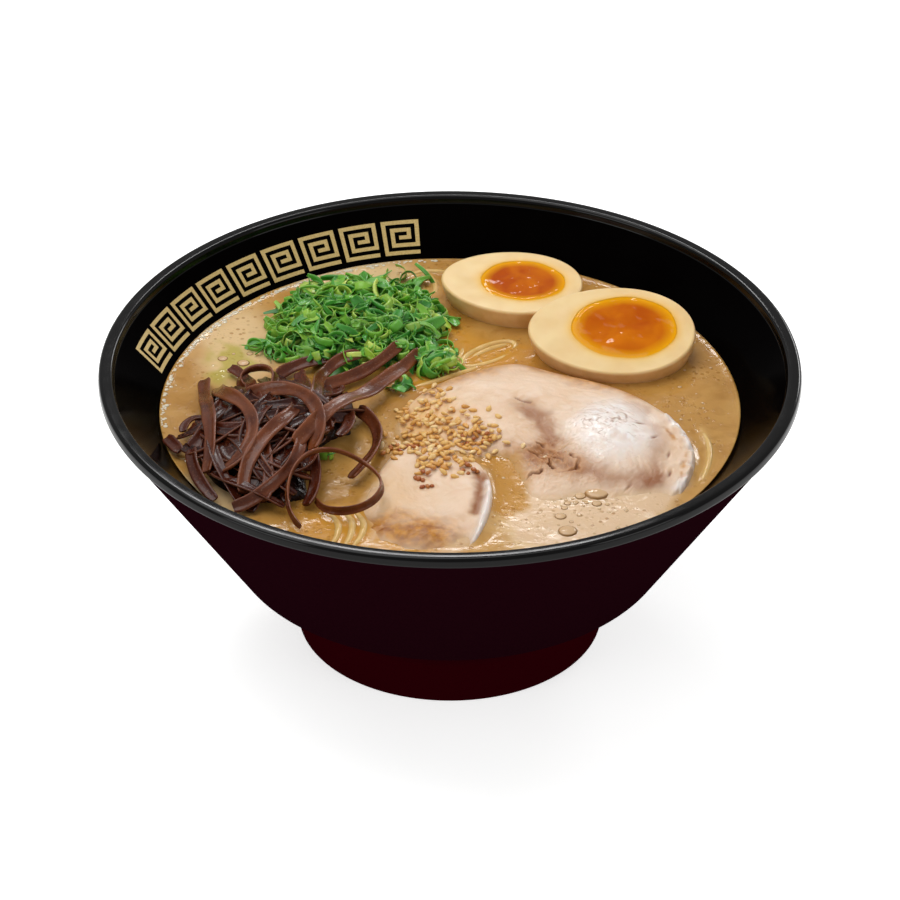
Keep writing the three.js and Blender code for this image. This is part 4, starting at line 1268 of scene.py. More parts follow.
def wet_wood_ear():
    """Simmered wood-ear fungus: gelatinous red-brown strips with paler edges. Their wine-dark tone low in
    the heap and the darker middle of each cupped strip are painted shade.
    """
    material, tree, surface, place = new_material("simmered_wood_ear", {
        "Roughness": 0.2, "IOR": 1.4, "Specular IOR Level": 0.42, "Subsurface Weight": 0.2,
        "Subsurface Radius": (1.0, 0.35, 0.15), "Subsurface Scale": 1 * MM})
    # the tone runs from the low strips to the top ones, so its dark end is painted shade
    tone = ramp(tree, attribute(tree, "tone"), (0.0, "#180504"), (0.35, "#3a140a"), (0.6, "#5c2814"),
                (1.0, "#7e4524"))
    mottle = scaled(tree, noise(tree, place, 9, detail=4.0), 0.4, 0.68, 0.0, 0.7)
    body = mix(tree, mottle, tone, "#3f160b")
    # painted shade in the cupped middle of each strip
    cupped_middle_shade = scaled(tree, attribute(tree, "rim"), 0.1, 0.0, 0.0, 0.3)
    body = mix(tree, cupped_middle_shade, body, "#3a1208")
    speckle = scaled(tree, noise(tree, place, 0.7, detail=2.0), 0.62, 0.72, 0.0, 0.4)
    body = mix(tree, speckle, body, "#9a6440")
    edge = scaled(tree, attribute(tree, "rim"), 0.18, 0.25, 0.0, 0.6)
    tree.links.new(mix(tree, edge, body, "#8c563c"), surface.inputs["Base Color"])
    tree.links.new(scaled(tree, noise(tree, place, 1.5), 0.3, 0.7, 0.1, 0.26), surface.inputs["Roughness"])
    raise_surface(tree, surface, noise(tree, place, 0.9, detail=4.0), 0.12)
    return material


def painted_shade_wood_ear():
    """The depth of the heap: packed wet fungus with small glints, painted nearly black as shade."""
    material, tree, surface, place = new_material("packed_wood_ear", {
        "Roughness": 0.2, "IOR": 1.4, "Specular IOR Level": 0.3})
    cloud = scaled(tree, noise(tree, place, 3, detail=4.0, distortion=0.5), 0.35, 0.65)
    # painted shade: the heap's body is nearly black
    tree.links.new(mix(tree, cloud, "#0c0404", "#2a100b"), surface.inputs["Base Color"])
    raise_surface(tree, surface, noise(tree, place, 1.6, detail=4.0, distortion=0.5), 0.5)
    return material


def heap_core(name, heap, ground, room, relief, size, seed, sides, rings):
    """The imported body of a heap, `room` smaller all round, with relief of strands on its top."""
    turn = full_turn(sides)
    edge_reach, edge_rise = zip(*CORE_EDGE)
    reach = np.concatenate([np.linspace(0, 0.97, rings), edge_reach])[:, None]
    x = heap["x"] + np.cos(turn) * reach * (heap["width"] / 2 - room)
    y = heap["y"] + np.sin(turn) * reach * (heap["depth"] / 2 - room)
    low = LEVEL - heap["sunk"]
    strands = np.abs(value_noise(x + 0.6 * y, (y - 0.6 * x) / 4, size, seed))
    strands = strands + np.abs(value_noise(x / 4, y + 0.3 * x, size, seed + 1))
    rise = np.concatenate([np.ones(rings), edge_rise])[:, None]
    height = low + (np.maximum(ground(x, y) + relief * (strands - 1), low) - low) * rise
    limit = (wall_radius(np.minimum(height, LEVEL)) - CORE_TO_WALL) / np.maximum(np.hypot(x, y), 1)
    limit = np.minimum(1, limit)
    return shell(name, np.stack([x * limit, y * limit, height], -1))


def packed_wood_ear_ground(x, y):
    """Well under the strips, and under the broth where the heap lies open."""
    opening = 13 * smoothstep(inside_share(HEAP_OPENING, x, y, room=10), 0, 0.4)
    return wood_ear_ground(x, y) - 3.4 - opening


def make_wood_ear(settings):
    chance = np.random.default_rng(3)
    # lower strips get a darker tone: painted shade in the depth of the heap
    strips = [strip_strand(row, 0.5 + 0.5 * i / len(STRIPS), chance) for i, row in enumerate(STRIPS)]
    rows = extra_strips(settings.filling_strips, chance)
    # the filling, low in the heap, gets dark tones: painted shade, spread at random
    filling = [strip_strand(row, chance.uniform(0.1, 0.6), chance) for row in rows]
    material = wet_wood_ear()
    for name, group in (("wood_ear_strips", strips), ("wood_ear_filling", filling)):
        piece = make_strands(name, group, material, thickness=0.26, sides=16, cup=0.6)
        keep(piece, "wood_ear", "wood_ear")
    core = heap_core("wood_ear_body", WOOD_EAR, packed_wood_ear_ground,
                     room=10, relief=1.6, size=2.6, seed=71, sides=200, rings=70)
    keep(core, "wood_ear", "wood_ear", material=painted_shade_wood_ear())


# ---------------------------------------------------------------- the scallion heap

GOLDEN_ANGLE = math.radians(137.5)
SCALLION_KINDS = {
    # share of the pieces, thickness over width, and cup of the section
    "rings": (0.28, 0.13, 0.0),
    "shreds": (0.32, 0.14, 0.5),
    "leaves": (0.18, 0.08, 0.6),
    "threads": (0.22, 0.6, 0.0),
}
STRAY_SCALLIONS = [
    (-16.5, 9, 5), (-38, -33, 2), (-12, 80, 6), (-62, 36, 8), (-2, 55, 6), (-1, 33, 6), (-58, 30, 5),
    (-30, 76, 5),
]


def random_turn(chance, lean):
    """A turn by any angle about Z after a tip of about `lean` degrees."""
    tip = Matrix.Rotation(math.radians(chance.normal(0, lean)), 3, "X")
    tip = tip @ Matrix.Rotation(math.radians(chance.normal(0, lean)), 3, "Y")
    return np.array(Matrix.Rotation(chance.uniform(0, 2 * math.pi), 3, "Z") @ tip)


def scallion_ring(chance):
    radius, sweep = chance.uniform(1.9, 3.6), chance.uniform(290, 400)
    turn = np.radians(np.linspace(0, sweep, 18))
    grown = radius * (1 + 0.12 * turn / (2 * math.pi))
    points = np.column_stack([grown * np.cos(turn), 0.82 * grown * np.sin(turn), 0 * turn])
    return strand(points, chance.uniform(1.8, 3.4), 90, chance.uniform(0.35, 1.0))


def scallion_sliver(kind, chance):
    """A curled shred, a leaf piece or a thread, about the origin."""
    length, width, curl, tone = {
        "shreds": (chance.uniform(6, 14), chance.uniform(1.2, 2.8), 150, chance.uniform(0, 0.75)),
        "leaves": (chance.uniform(6, 12), chance.uniform(3.0, 6.0), 80, chance.uniform(0.1, 1.0)),
        "threads": (chance.uniform(8, 16), chance.uniform(0.4, 0.8), 220, chance.uniform(0.2, 1)),
    }[kind]
    plan = winding_path(0, 0, 0, length, chance.uniform(-curl, curl), chance.uniform(-curl, curl), 14)
    plan = plan - plan.mean(0)
    arch = chance.uniform(0.3, 1.6) * np.sin(np.linspace(0, math.pi, len(plan)))
    roll = chance.uniform(-80, 80) + chance.uniform(-60, 60) * np.linspace(0, 1, len(plan))
    taper = 0.45 + 0.55 * np.sin(np.linspace(0.2, math.pi - 0.2, len(plan)))
    return strand(np.column_stack([plan, arch]), width * taper, roll, tone)


def scallion_places(count, chance):
    """Places over the heap and its clump in a sunflower pattern, and a few strays."""
    places = []
    for heap, share, high in ((SCALLIONS, 0.9, 2.0), (SCALLION_CLUMP, 0.1, 0.6)):
        number = int(count * share)
        for i in range(number):
            spread = math.sqrt((i + 0.5) / number) * 1.02
            angle = i * GOLDEN_ANGLE + chance.normal(0, 0.1)
            x = heap["x"] + math.cos(angle) * spread * heap["width"] / 2 + chance.normal(0, 0.8)
            y = heap["y"] + math.sin(angle) * spread * heap["depth"] / 2 + chance.normal(0, 0.8)
            ground = float(scallion_ground(heap, x, y))
            lift = chance.uniform(0, high) * min(1, max(0, (ground - LEVEL) / 3))
            places.append((x, y, max(ground, LEVEL + 0.3) + lift))
    for x, y, number in STRAY_SCALLIONS:
        for _ in range(number):
            places.append((x + chance.normal(0, 2.5), y + chance.normal(0, 2), LEVEL + 0.4))
    return places


def scallion_leaf():
    """Cut scallion leaf: fresh green to yellow green, finely ribbed, wet, with clear cut edges."""
    material, tree, surface, place = new_material("cut_scallion", {
        "Roughness": 0.28, "IOR": 1.4, "Subsurface Weight": 0.2, "Subsurface Radius": (0.5, 1.0, 0.2),
        "Subsurface Scale": 1 * MM, "Coat Weight": 0.15, "Coat Roughness": 0.15})
    tone = ramp(tree, attribute(tree, "tone"), (0.0, "#2a6a2c"), (0.3, "#479534"), (0.6, "#70b23c"),
                (0.85, "#a6ca44"), (1.0, "#d0de6c"))
    cloud = scaled(tree, noise(tree, place, 11, detail=3.0), 0.4, 0.65, 0.0, 0.55)
    body = mix(tree, cloud, tone, "#39862f")
    edge = scaled(tree, attribute(tree, "rim"), 0.18, 0.25, 0.0, 0.25)
    tree.links.new(mix(tree, edge, body, "#a8cc6c"), surface.inputs["Base Color"])
    raise_surface(tree, surface, noise(tree, place, 0.5, detail=3.0), 0.06)
    return material


def make_scallions(settings):
    chance = np.random.default_rng(13)
    eggs = [egg_waterline(egg, room=2) for egg in EGGS.values()]
    kinds, shares = list(SCALLION_KINDS), [kind[0] for kind in SCALLION_KINDS.values()]
    groups = {kind: [] for kind in kinds}
    for x, y, z in scallion_places(settings.scallion_pieces, chance):
        kind = kinds[chance.choice(len(kinds), p=shares)]
        shape = scallion_ring(chance) if kind == "rings" else scallion_sliver(kind, chance)
        piece = moved(shape, random_turn(chance, 24), (x, y, z + 0.5))
        px, py, pz = piece[0].T
        clear_of_wall = np.all(np.hypot(px, py) < wall_radius(pz) - 1.5)
        if clear_of_wall and all(np.all(shore_distance(px, py, egg) > 0) for egg in eggs):
            groups[kind].append(piece)
    material = scallion_leaf()
    for kind, (_, thickness, cup) in SCALLION_KINDS.items():
        piece = make_strands(f"scallion_{kind}", groups[kind], material, thickness, sides=8, cup=cup)
        keep(piece, "scallion", "scallions")
    for name, heap in (("scallion_body", SCALLIONS), ("scallion_clump_body", SCALLION_CLUMP)):
        def ground(x, y, heap=heap):
            return scallion_ground(heap, x, y) - 1.6
        core = heap_core(name, heap, ground, room=2, relief=1.2, size=1.6, seed=81, sides=120, rings=40)
        # the body under the pieces gets the darker tones: painted shade in the depth of the heap
        store(core, "tone", chance.uniform(0.05, 0.4, len(core.data.vertices)))
        keep(core, "scallion", "scallions", material=material)


# ---------------------------------------------------------------- the noodles

NOODLE_RISES = {
    "middle": {"x": 13, "y": 33, "width": 25, "depth": 12, "heading": 38},
    "back": {"x": -9, "y": 78, "width": 9, "depth": 17, "heading": 8},
}
# Each loop: the rise it lies in, how far inside its edge, its part of a turn, and its height.
NOODLE_LOOPS = [
    ("middle", 1.7, -0.12, 0.5, 0.3), ("middle", 4.0, 0.0, 0.42, 0.1), ("middle", 1.2, 0.45, 0.9, -0.1),
    ("back", 1.7, 0.2, 0.75, 0.2), ("back", 3.6, 0.1, 0.9, 0.0), ("back", 0.5, -0.25, 0.3, -0.1),
]
SUNK_NOODLES = [
    [(-38.5, -63), (-35.4, -70), (-35.6, -77), (-38, -83)],
    [(-35.6, -60), (-31.2, -68), (-31.4, -77), (-34, -84)],
    [(-31, -61), (-27.4, -69), (-28, -77), (-31.2, -84)],
    [(-12, 12), (-4, 16), (4, 21), (10, 25)],
    [(-9, 9), (-1, 13), (8, 20), (16, 25)],
    [(-10, 18), (-2, 24), (3, 31), (5, 39)],
    [(82, -14), (84, -24), (83.5, -34), (81, -44)],
    [(-16, 84), (-9, 87), (-1, 87.5)],
]
NOODLE_POINTS = 40  # along each strand


def wet_noodle():
    """Boiled wheat noodle in broth: pale yellow, slightly translucent, with a film of fat."""
    material, tree, surface, place = new_material("boiled_wheat_noodle", {
        "Roughness": 0.2, "IOR": 1.38, "Subsurface Weight": 0.3, "Subsurface Radius": (1.0, 0.7, 0.35),
        "Subsurface Scale": 1.5 * MM})
    cloud = scaled(tree, noise(tree, place, 4), 0.3, 0.7)
    tree.links.new(mix(tree, cloud, "#e3bf7e", "#d3a95e"), surface.inputs["Base Color"])
    raise_surface(tree, surface, noise(tree, place, 0.8), 0.04)
    return material


def noodle_plans():
    """The plan and the height of each strand: first the sunk ones, then the loops that come up."""
    plans = [(smooth_curve(path, NOODLE_POINTS), 0.1) for path in SUNK_NOODLES]
    for name, inset, start, stop, high in NOODLE_LOOPS:
        rise = NOODLE_RISES[name]
        turn = np.linspace(start, stop, NOODLE_POINTS) * 2 * math.pi
        x, y = np.cos(turn) * (rise["width"] / 2 - inset), np.sin(turn) * (rise["depth"] / 2 - inset)
        c, s = math.cos(math.radians(rise["heading"])), math.sin(math.radians(rise["heading"]))
        plans.append((np.stack([rise["x"] + x * c - y * s, rise["y"] + x * s + y * c], 1), high))
    return plans


def noodle_mask(x, y):
    """1 over the strands, falling softly to 0 beside them."""
    away = np.minimum.reduce([path_distance(x, y, plan) for plan, _ in noodle_plans()])
    return np.exp(-(away / 1.5) ** 2)


def make_noodles(settings):
    diameter = settings.noodle_diameter / MM
    height = LEVEL - 1.1 + 0.65 * np.sin(np.linspace(0, math.pi, NOODLE_POINTS))
    strands = [strand(np.column_stack([plan, height + high]), diameter) for plan, high in noodle_plans()]
    piece = make_strands("wheat_noodles", strands, wet_noodle(), thickness=1.0, sides=14)
    keep(piece, "noodle", "noodles")


# ---------------------------------------------------------------- the broth

CAVITY = [(82.6, 62), (72, 46.5), (64, 39.2), (52, 36.3)]  # radius and height of the bowl's inside
BROTH_SIDES, BROTH_RINGS = 480, 170
BROTH_TO_WALL = 0.3
OIL_PATCH = (-74, 26)
# Each patch: x, y, width and depth.
CREAMY_PATCHES = [
    (45, -72, 34, 22), (-72, 38, 16, 26), (-75, -52, 14, 14), (-34, 86, 26, 10), (24, -76, 10, 14),
]
GOLDEN_PATCHES = [
    (-12, -79, 18, 11), (-36, -72, 14, 14), (2, 40, 14, 12), (12, 34, 16, 12), (-6, 14, 12, 8),
]
# Each bubble: its x, y and radius.
BUBBLES = [
    (47, -51.3, 4.6), (37.3, -49, 1.5), (39.2, -50.7, 1.1), (41.5, -53.6, 2.0), (37.4, -57.7, 1.3),
    (40, -57.2, 1.0), (35.2, -54.8, 0.9), (36.4, -60.4, 1.2), (46.7, -58, 1.7), (43.4, -57.3, 0.9),
    (50, -58.5, 0.8), (33.4, -50.5, 0.7), (37.1, -73.7, 3.2), (35, -65.2, 2.0), (41, -64.5, 0.9),
    (38.4, -68.4, 0.8), (53, -72, 0.8), (56, -62, 0.7), (-69, 27, 2.2), (-73, 22, 1.5), (-76, 30, 1.8),
    (-67, 33, 1.2), (-45, -20, 1.0), (5, 27, 0.7), (-2, 20, 0.9), (76, 12, 0.8),
]
# Each cluster of small bubbles: x, y, width and depth of most of it, and its count.
BUBBLE_CLUSTERS = [(41, -57, 16, 12, 34), (36, -70, 8, 10, 10), (45, 0, 130, 130, 260)]
BUBBLE_SIDES, BUBBLE_RINGS = 12, 4  # few faces on each, as there are hundreds
FOAM_START, FOAM_END = 93, 188  # degrees round the bowl between which small bubbles line the wall


def broth_surface(x, y):
    """The broth's height: nearly level, drawn up at the bowl and the toppings, and over the noodles."""
    climb = 0.7 * np.exp(-(BROTH_RADIUS - np.hypot(x, y)) / 1.2)
    standing = {
        "egg": 1,
        "large": smoothstep(y, -52, -42) * (1 - near_path(x, y, POOL, 9)),
        "small": smoothstep(x, -16, -8) * smoothstep(y, -84, -76),
    }
    shores = [("egg", egg_waterline(egg)) for egg in EGGS.values()]
    shores += [("large", pork_outline(LARGE_PORK, 90)), ("small", pork_outline(SMALL_PORK, 90))]
    for kind, shore in shores:
        near = np.exp(-np.maximum(shore_distance(x, y, shore), 0) / 1.5)
        climb = np.maximum(climb, 0.9 * near * standing[kind])
    climb = np.maximum(climb, 0.35 * noodle_mask(x, y))
    return LEVEL + climb + 0.12 * layered_noise(x, y, 16, 31, 3)


def sunk_meat(x, y):
    """1 where pork lies just under the broth, fading at the slices' edges."""
    x, y = ragged(x, y, 8, 1.5, 63)
    slices = [shore_distance(x, y, pork_outline(slice_, 90)) for slice_ in (LARGE_PORK, SMALL_PORK)]
    return smoothstep(np.minimum.reduce(slices), 1.5, -4)


def patches(x, y, rows):
    """1 in torn patches of the broth, 0 away from them."""
    x, y = ragged(x, y, 14, 4, 37)
    return smoothstep(np.maximum.reduce([bump(x, y, row[:2], *row[2:]) for row in rows]), 0.15, 0.8)


def pork_broth(tone, clear):
    """Long-boiled pork bone broth: golden brown, creamy with fat in places, fat droplets on top."""
    material, tree, surface, place = new_material("creamy_pork_broth", {
        "Roughness": 0.12, "IOR": 1.36, "Specular IOR Level": 0.4, "Subsurface Weight": 0.2,
        "Subsurface Radius": (1.0, 0.65, 0.35), "Subsurface Scale": 3 * MM})
    cloud = scaled(tree, noise(tree, place, 22, detail=5.0, distortion=0.8), 0.35, 0.65, 0.0, 0.9)
    body = mix(tree, cloud, clear, "#c69752")
    wisps = scaled(tree, noise(tree, place, 8, detail=5.0, distortion=1.2), 0.5, 0.72, 0.0, 0.5)
    body = mix(tree, wisps, body, "#9c6a2a")
    body = mix(tree, attribute(tree, "noodle"), body, "#d8ac66")
    body = mix(tree, attribute(tree, "cream"), body, tone)
    body = mix(tree, attribute(tree, "meat"), body, "#dcbb96")
    body = mix(tree, attribute(tree, "golden"), body, "#c78c30")
    body = mix(tree, attribute(tree, "seared"), body, "#a96a2c")
    crowd = scaled(tree, noise(tree, place, 14), 0.42, 0.56)
    drops = arithmetic(tree, "MULTIPLY", spots(tree, place, 2.6, 0.18, 0.3), crowd)
    body = mix(tree, arithmetic(tree, "MULTIPLY", drops, 0.6), body, "#9c6722")
    body = mix(tree, attribute(tree, "oil"), body, "#ae9f3c")
    tree.links.new(body, surface.inputs["Base Color"])
    specks = arithmetic(tree, "MULTIPLY", spots(tree, place, 1.3, 0.1, 0.3), crowd)
    beads = arithmetic(tree, "ADD", drops, specks)
    height = arithmetic(tree, "ADD", noise(tree, place, 3, detail=2.0), beads)
    raise_surface(tree, surface, height, 0.1)
    return material


def make_broth(settings):
    turn = full_turn(BROTH_SIDES)
    radii = np.linspace(0, BROTH_RADIUS - BROTH_TO_WALL, BROTH_RINGS)
    x, y = radii[:, None] * np.cos(turn), radii[:, None] * np.sin(turn)
    rings = [*np.stack([x, y, broth_surface(x, y)], -1)]
    for radius, height in [*CAVITY, (0, CAVITY[-1][1])]:
        reach = max(radius - BROTH_TO_WALL, 0)
        level = np.full(BROTH_SIDES, height)
        rings.append(np.stack([reach * np.cos(turn), reach * np.sin(turn), level], -1))
    x, y = np.array(rings)[..., 0], np.array(rings)[..., 1]
    patch = bump(x, y, OIL_PATCH, 10, 17, 20) * (1 + 0.5 * layered_noise(x, y, 6, 35, 3))
    pool = pool_mask(x, y)
    masks = {
        "oil": 0.8 * smoothstep(patch, 0.3, 0.8),
        "noodle": 0.6 * noodle_mask(x, y),
        "cream": patches(x, y, CREAMY_PATCHES) * (1 - pool),
        "golden": np.maximum(0.95 * patches(x, y, GOLDEN_PATCHES), 0.4 * pool),
        "meat": sunk_meat(x, y) * (1 - pool),
        "seared": 0.8 * seared_mask(x, y),
    }
    piece = shell("broth_body", rings, masks)
    keep(piece, "broth", "broth", material=pork_broth(settings.broth, settings.clear_broth))


def bubble_tree():
    """Sets a low round dome on each of the base's points."""
    tree, inputs = new_tree("Bubbles", {"Flatness": float, "Material": bpy.types.Material})
    ball = add_node(tree, "GeometryNodeMeshUVSphere", inputs={
        "Segments": BUBBLE_SIDES, "Rings": BUBBLE_RINGS, "Radius": 1.0})
    side = position_parts(tree)
    square = arithmetic(tree, "ADD", arithmetic(tree, "MULTIPLY", side["X"], side["X"]),
                        arithmetic(tree, "MULTIPLY", side["Y"], side["Y"]))
    rimmed = stored(tree, ball, "rim", square)
    flat = add_node(tree, "ShaderNodeCombineXYZ", inputs={"X": 1.0, "Y": 1.0, "Z": inputs["Flatness"]})
    low = add_node(tree, "GeometryNodeTransform", inputs={"Geometry": rimmed, "Scale": flat})
    laid = add_node(tree, "GeometryNodeInstanceOnPoints", inputs={
        "Points": inputs["Geometry"], "Instance": low, "Scale": named(tree, "radius")})
    end_tree(tree, laid, inputs["Material"])
    return tree


def bubble_film():
    """A bubble of fatty broth: nearly the broth's own colour, with a painted dark ring near its rim as
    shade at the bubble's edge, and a sharp glint.
    """
    material, tree, surface, place = new_material("broth_bubble", {
        "Roughness": 0.05, "IOR": 1.36, "Subsurface Weight": 0.2, "Subsurface Radius": (1.0, 0.65, 0.35),
        "Subsurface Scale": 1 * MM})
    # painted shade: a dark ring near each bubble's rim
    tone = ramp(tree, attribute(tree, "rim"), (0.0, "#cfaa80"), (0.55, "#d2ae84"), (0.82, "#a0703a"),
                (1.0, "#c8a070"))
    cloud = scaled(tree, noise(tree, place, 6), 0.4, 0.7, 0.0, 0.3)
    body = mix(tree, cloud, tone, "#dcbb90")
    tree.links.new(mix(tree, attribute(tree, "milky"), body, "#efe6cf"), surface.inputs["Base Color"])
    return material


def foam_places(count, chance):
    """Small bubbles in a thin line against the wall, most of them touching it."""
    angle = np.radians(chance.uniform(FOAM_START, FOAM_END, count))
    radius = 0.3 + 0.6 * chance.uniform(0, 1, count) ** 2
    reach = BROTH_RADIUS - 0.4 - radius - 1.6 * chance.uniform(0, 1, count) ** 3
    return np.column_stack([reach * np.cos(angle), reach * np.sin(angle), radius])


def open_broth(x, y):
    """True where no topping stands over the broth."""
    clear = toppings_height(x, y) < broth_surface(x, y) + 0.2
    for egg in EGGS.values():
        clear &= shore_distance(x, y, egg_waterline(egg, room=1)) > 0
    for heap in (WOOD_EAR, SCALLIONS, SCALLION_CLUMP):
        clear &= inside_share(heap, x, y) < 0
    return clear & (np.hypot(x, y) < BROTH_RADIUS - 3)


def make_bubbles(settings):
    chance = np.random.default_rng(29)
    small = scattered(BUBBLE_CLUSTERS, spacing=1.3, seed=7)
    small = small[open_broth(small[:, 0], small[:, 1])]
    small[:, 2] = chance.uniform(0.2, 0.65, len(small))
    foam = foam_places(settings.foam_bubbles, chance)
    x, y, radius = np.vstack([BUBBLES, small, foam]).T
    base = mesh_object("bubble_places", np.stack([x, y, broth_surface(x, y)], 1))
    store(base, "radius", radius * MM)
    store(base, "milky", np.repeat([0.0, 0.75], [len(x) - len(foam), len(foam)]))
    piece = grow("broth_bubbles", base, bubble_tree(), {
        "Flatness": settings.bubble_height, "Material": bubble_film()})
    keep(piece, "broth", "broth")


# ---------------------------------------------------------------- the stage

# Each light: name, place, aim, width and depth in metres, power in watts.
LIGHTS = [
    ("overhead_softbox", (-0.35, 0.3, 1.35), (0, 0, 0.05), 1.3, 1.0, 10.4),
    ("left_softbox", (-1.4, -0.9, 0.7), (0, 0, 0.05), 0.8, 0.6, 5.0),
    ("right_softbox", (1.4, -0.9, 0.7), (0, 0, 0.05), 0.8, 0.6, 4.0),
    ("back_strip", (0.72, 1.28, 0.66), (0, 0, 0.09), 0.5, 0.16, 3.0),
    ("glint_strip", (-0.1, 1.2, 1.08), (0, 0, 0.09), 0.45, 0.1, 2.5),
]
FLOOR_HALF = 6000  # in millimetres
CAMERA_PLACE = (0, -1.252, 0.8712)  # in metres
CAMERA_AIM = (0, 0, 0.0656)  # in metres
CAMERA_LENS = 179.96  # in millimetres
SENSOR_WIDTH = 36  # in millimetres


def lit_floor():
    """A matt white acrylic table, lit a little from below so that shadows stay light."""
    material, tree, surface, place = new_material("lit_acrylic_floor", {
        "Roughness": 0.9, "Specular IOR Level": 0.1, "Emission Color": colour("#ffffff"),
        "Emission Strength": 0.62})
    cloud = scaled(tree, noise(tree, place, 60), 0.3, 0.7)
    tree.links.new(mix(tree, cloud, "#f7f7f6", "#fafaf9"), surface.inputs["Base Color"])
    return material


def aimed_object(name, data, place, aim):
    made = bpy.data.objects.new(name, data)
    made.location = place
    made.rotation_euler = (Vector(aim) - Vector(place)).to_track_quat("-Z", "Y").to_euler()
    bpy.context.scene.collection.objects.link(made)
    return made


def make_stage(settings):
    scene = bpy.context.scene
    scene.view_settings.view_transform = "Standard"
    half = FLOOR_HALF
    corners = [(-half, -half, 0), (half, -half, 0), (half, half, 0), (-half, half, 0)]
    floor = mesh_object("floor", corners, faces=[(0, 1, 2, 3)])
    floor.data.materials.append(lit_floor())
    world = bpy.data.worlds.new("studio_air")
    scene.world = world
    world.use_nodes = True
    background = world.node_tree.nodes["Background"]
    background.inputs["Color"].default_value = colour("#ffffff")
    background.inputs["Strength"].default_value = settings.air_light
    for name, place, aim, width, depth, power in LIGHTS:
        lamp = bpy.data.lights.new(name, "AREA")
        lamp.shape = "RECTANGLE"
        lamp.size, lamp.size_y = width, depth
        lamp.energy = power * settings.lamp_light
        aimed_object(name, lamp, place, aim)
    camera = bpy.data.cameras.new("table_view")
    camera.lens = CAMERA_LENS
    camera.sensor_width = SENSOR_WIDTH
    scene.camera = aimed_object("table_view", camera, CAMERA_PLACE, CAMERA_AIM)


# ---------------------------------------------------------------- the add-on

def colour_property(name, description, hex_code):
    return FloatVectorProperty(
        name=name, description=description, default=colour(hex_code), size=4, subtype="COLOR", min=0, max=1)


def length_property(name, description, millimetres):
    return FloatProperty(
        name=name, description=description, default=millimetres * MM, subtype="DISTANCE", unit="LENGTH",
        min=0.1 * MM, precision=5)


class RamenBowlSettings(bpy.types.PropertyGroup):
    steps: IntProperty(name="Steps", description="Facets round the bowl", default=289, min=33)
    inside: colour_property("Inside", "Colour of the bowl's inside and lip", "#020101")
    outside: colour_property("Outside", "Colour of the bowl's outside", "#150308")
    gold: colour_property("Gold", "Colour of the band printed inside the bowl", "#d6bb7c")


class RamenFoodSettings(bpy.types.PropertyGroup):
    broth: colour_property("Creamy Broth", "Colour of the broth where it is creamy", "#dcbb8a")
    clear_broth: colour_property("Clear Broth", "Colour of the broth where it is clear", "#b07e38")
    bubble_height: FloatProperty(
        name="Bubble Height", description="Height of a bubble over its radius", default=0.18,
        min=0.05, max=1, subtype="FACTOR")
    foam_bubbles: IntProperty(
        name="Foam Bubbles", description="Small bubbles against the wall behind the heaps",
        default=300, min=1)
    seed_length: length_property("Seed Length", "Length of a sesame seed", 2.9)
    noodle_diameter: length_property("Noodle Diameter", "Thickness of a noodle", 2.5)
    filling_strips: IntProperty(
        name="Filling Strips", description="Wood-ear strips low in the heap", default=64, min=1)
    scallion_pieces: IntProperty(
        name="Scallion Pieces", description="Cut pieces of scallion in all", default=560, min=40)


class RamenStageSettings(bpy.types.PropertyGroup):
    air_light: FloatProperty(
        name="Air Light", description="Strength of the light from all round", default=0.45, min=0)
    lamp_light: FloatProperty(
        name="Lamp Light", description="Share of the lamps' usual power", default=1.0, min=0)


class RAMEN_OT_stage(bpy.types.Operator):
    """Build the floor, the lights and the camera"""
    bl_idname = "ramen.stage"
    bl_label = "Stage"

    def execute(self, context):
        make_stage(context.scene.ramen_stage)
        return {"FINISHED"}


class RAMEN_OT_bowl(bpy.types.Operator):
    """Turn the lacquered bowl"""
    bl_idname = "ramen.bowl"
    bl_label = "Bowl"

    def execute(self, context):
        make_bowl(context.scene.ramen_bowl)
        return {"FINISHED"}


class RAMEN_OT_band(bpy.types.Operator):
    """Print the gold band inside the bowl"""
    bl_idname = "ramen.band"
    bl_label = "Gold Band"

    def execute(self, context):
        make_band(context.scene.ramen_bowl)
        return {"FINISHED"}


class RAMEN_OT_broth(bpy.types.Operator):
    """Fill the bowl with pork broth"""
    bl_idname = "ramen.broth"
    bl_label = "Broth"

    def execute(self, context):
        make_broth(context.scene.ramen_food)
        return {"FINISHED"}


class RAMEN_OT_bubbles(bpy.types.Operator):
    """Set the bubbles on the broth"""
    bl_idname = "ramen.bubbles"
    bl_label = "Bubbles"

    def execute(self, context):
        make_bubbles(context.scene.ramen_food)
        return {"FINISHED"}


class RAMEN_OT_noodles(bpy.types.Operator):
    """Lay the noodles that come up to the surface"""
    bl_idname = "ramen.noodles"
    bl_label = "Noodles"

    def execute(self, context):
        make_noodles(context.scene.ramen_food)
        return {"FINISHED"}


class RAMEN_OT_eggs(bpy.types.Operator):
    """Build the two egg halves"""
    bl_idname = "ramen.eggs"
    bl_label = "Egg Halves"

    def execute(self, context):
        make_eggs()
        return {"FINISHED"}


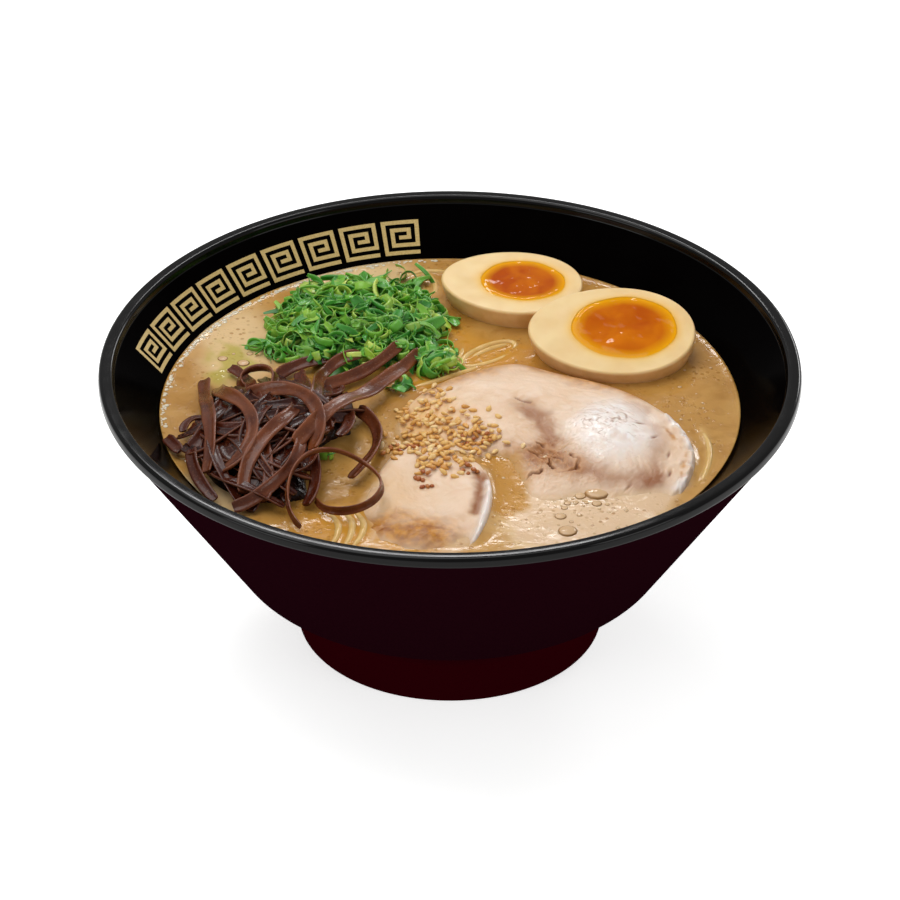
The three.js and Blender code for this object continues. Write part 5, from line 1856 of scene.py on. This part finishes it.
class RAMEN_OT_pork(bpy.types.Operator):
    """Build the two pork slices"""
    bl_idname = "ramen.pork"
    bl_label = "Pork Slices"

    def execute(self, context):
        make_pork()
        return {"FINISHED"}


class RAMEN_OT_sesame(bpy.types.Operator):
    """Sprinkle the sesame seeds"""
    bl_idname = "ramen.sesame"
    bl_label = "Sesame"

    def execute(self, context):
        make_sesame(context.scene.ramen_food)
        return {"FINISHED"}


class RAMEN_OT_wood_ear(bpy.types.Operator):
    """Heap up the wood-ear strips"""
    bl_idname = "ramen.wood_ear"
    bl_label = "Wood Ear"

    def execute(self, context):
        make_wood_ear(context.scene.ramen_food)
        return {"FINISHED"}


class RAMEN_OT_scallions(bpy.types.Operator):
    """Heap up the cut scallions"""
    bl_idname = "ramen.scallions"
    bl_label = "Scallions"

    def execute(self, context):
        make_scallions(context.scene.ramen_food)
        return {"FINISHED"}


OPERATORS = (
    RAMEN_OT_stage, RAMEN_OT_bowl, RAMEN_OT_band, RAMEN_OT_broth, RAMEN_OT_bubbles, RAMEN_OT_noodles,
    RAMEN_OT_eggs, RAMEN_OT_pork, RAMEN_OT_sesame, RAMEN_OT_wood_ear, RAMEN_OT_scallions,
)


class RAMEN_PT_panel(bpy.types.Panel):
    bl_label = "Ramen Bowl"
    bl_space_type = "VIEW_3D"
    bl_region_type = "UI"
    bl_category = "Ramen Bowl"

    def draw(self, context):
        for operator in OPERATORS:
            self.layout.operator(operator.bl_idname)


SETTINGS = {
    "ramen_bowl": RamenBowlSettings,
    "ramen_food": RamenFoodSettings,
    "ramen_stage": RamenStageSettings,
}
CLASSES = (*SETTINGS.values(), *OPERATORS, RAMEN_PT_panel)


def register():
    for cls in CLASSES:
        bpy.utils.register_class(cls)
    for name, group in SETTINGS.items():
        setattr(bpy.types.Scene, name, PointerProperty(type=group))


def unregister():
    for name in SETTINGS:
        delattr(bpy.types.Scene, name)
    for cls in reversed(CLASSES):
        bpy.utils.unregister_class(cls)


def main():
    register()
    for operator in OPERATORS:
        getattr(bpy.ops.ramen, operator.bl_idname.split(".")[1])()


if __name__ == "__main__":
    main()
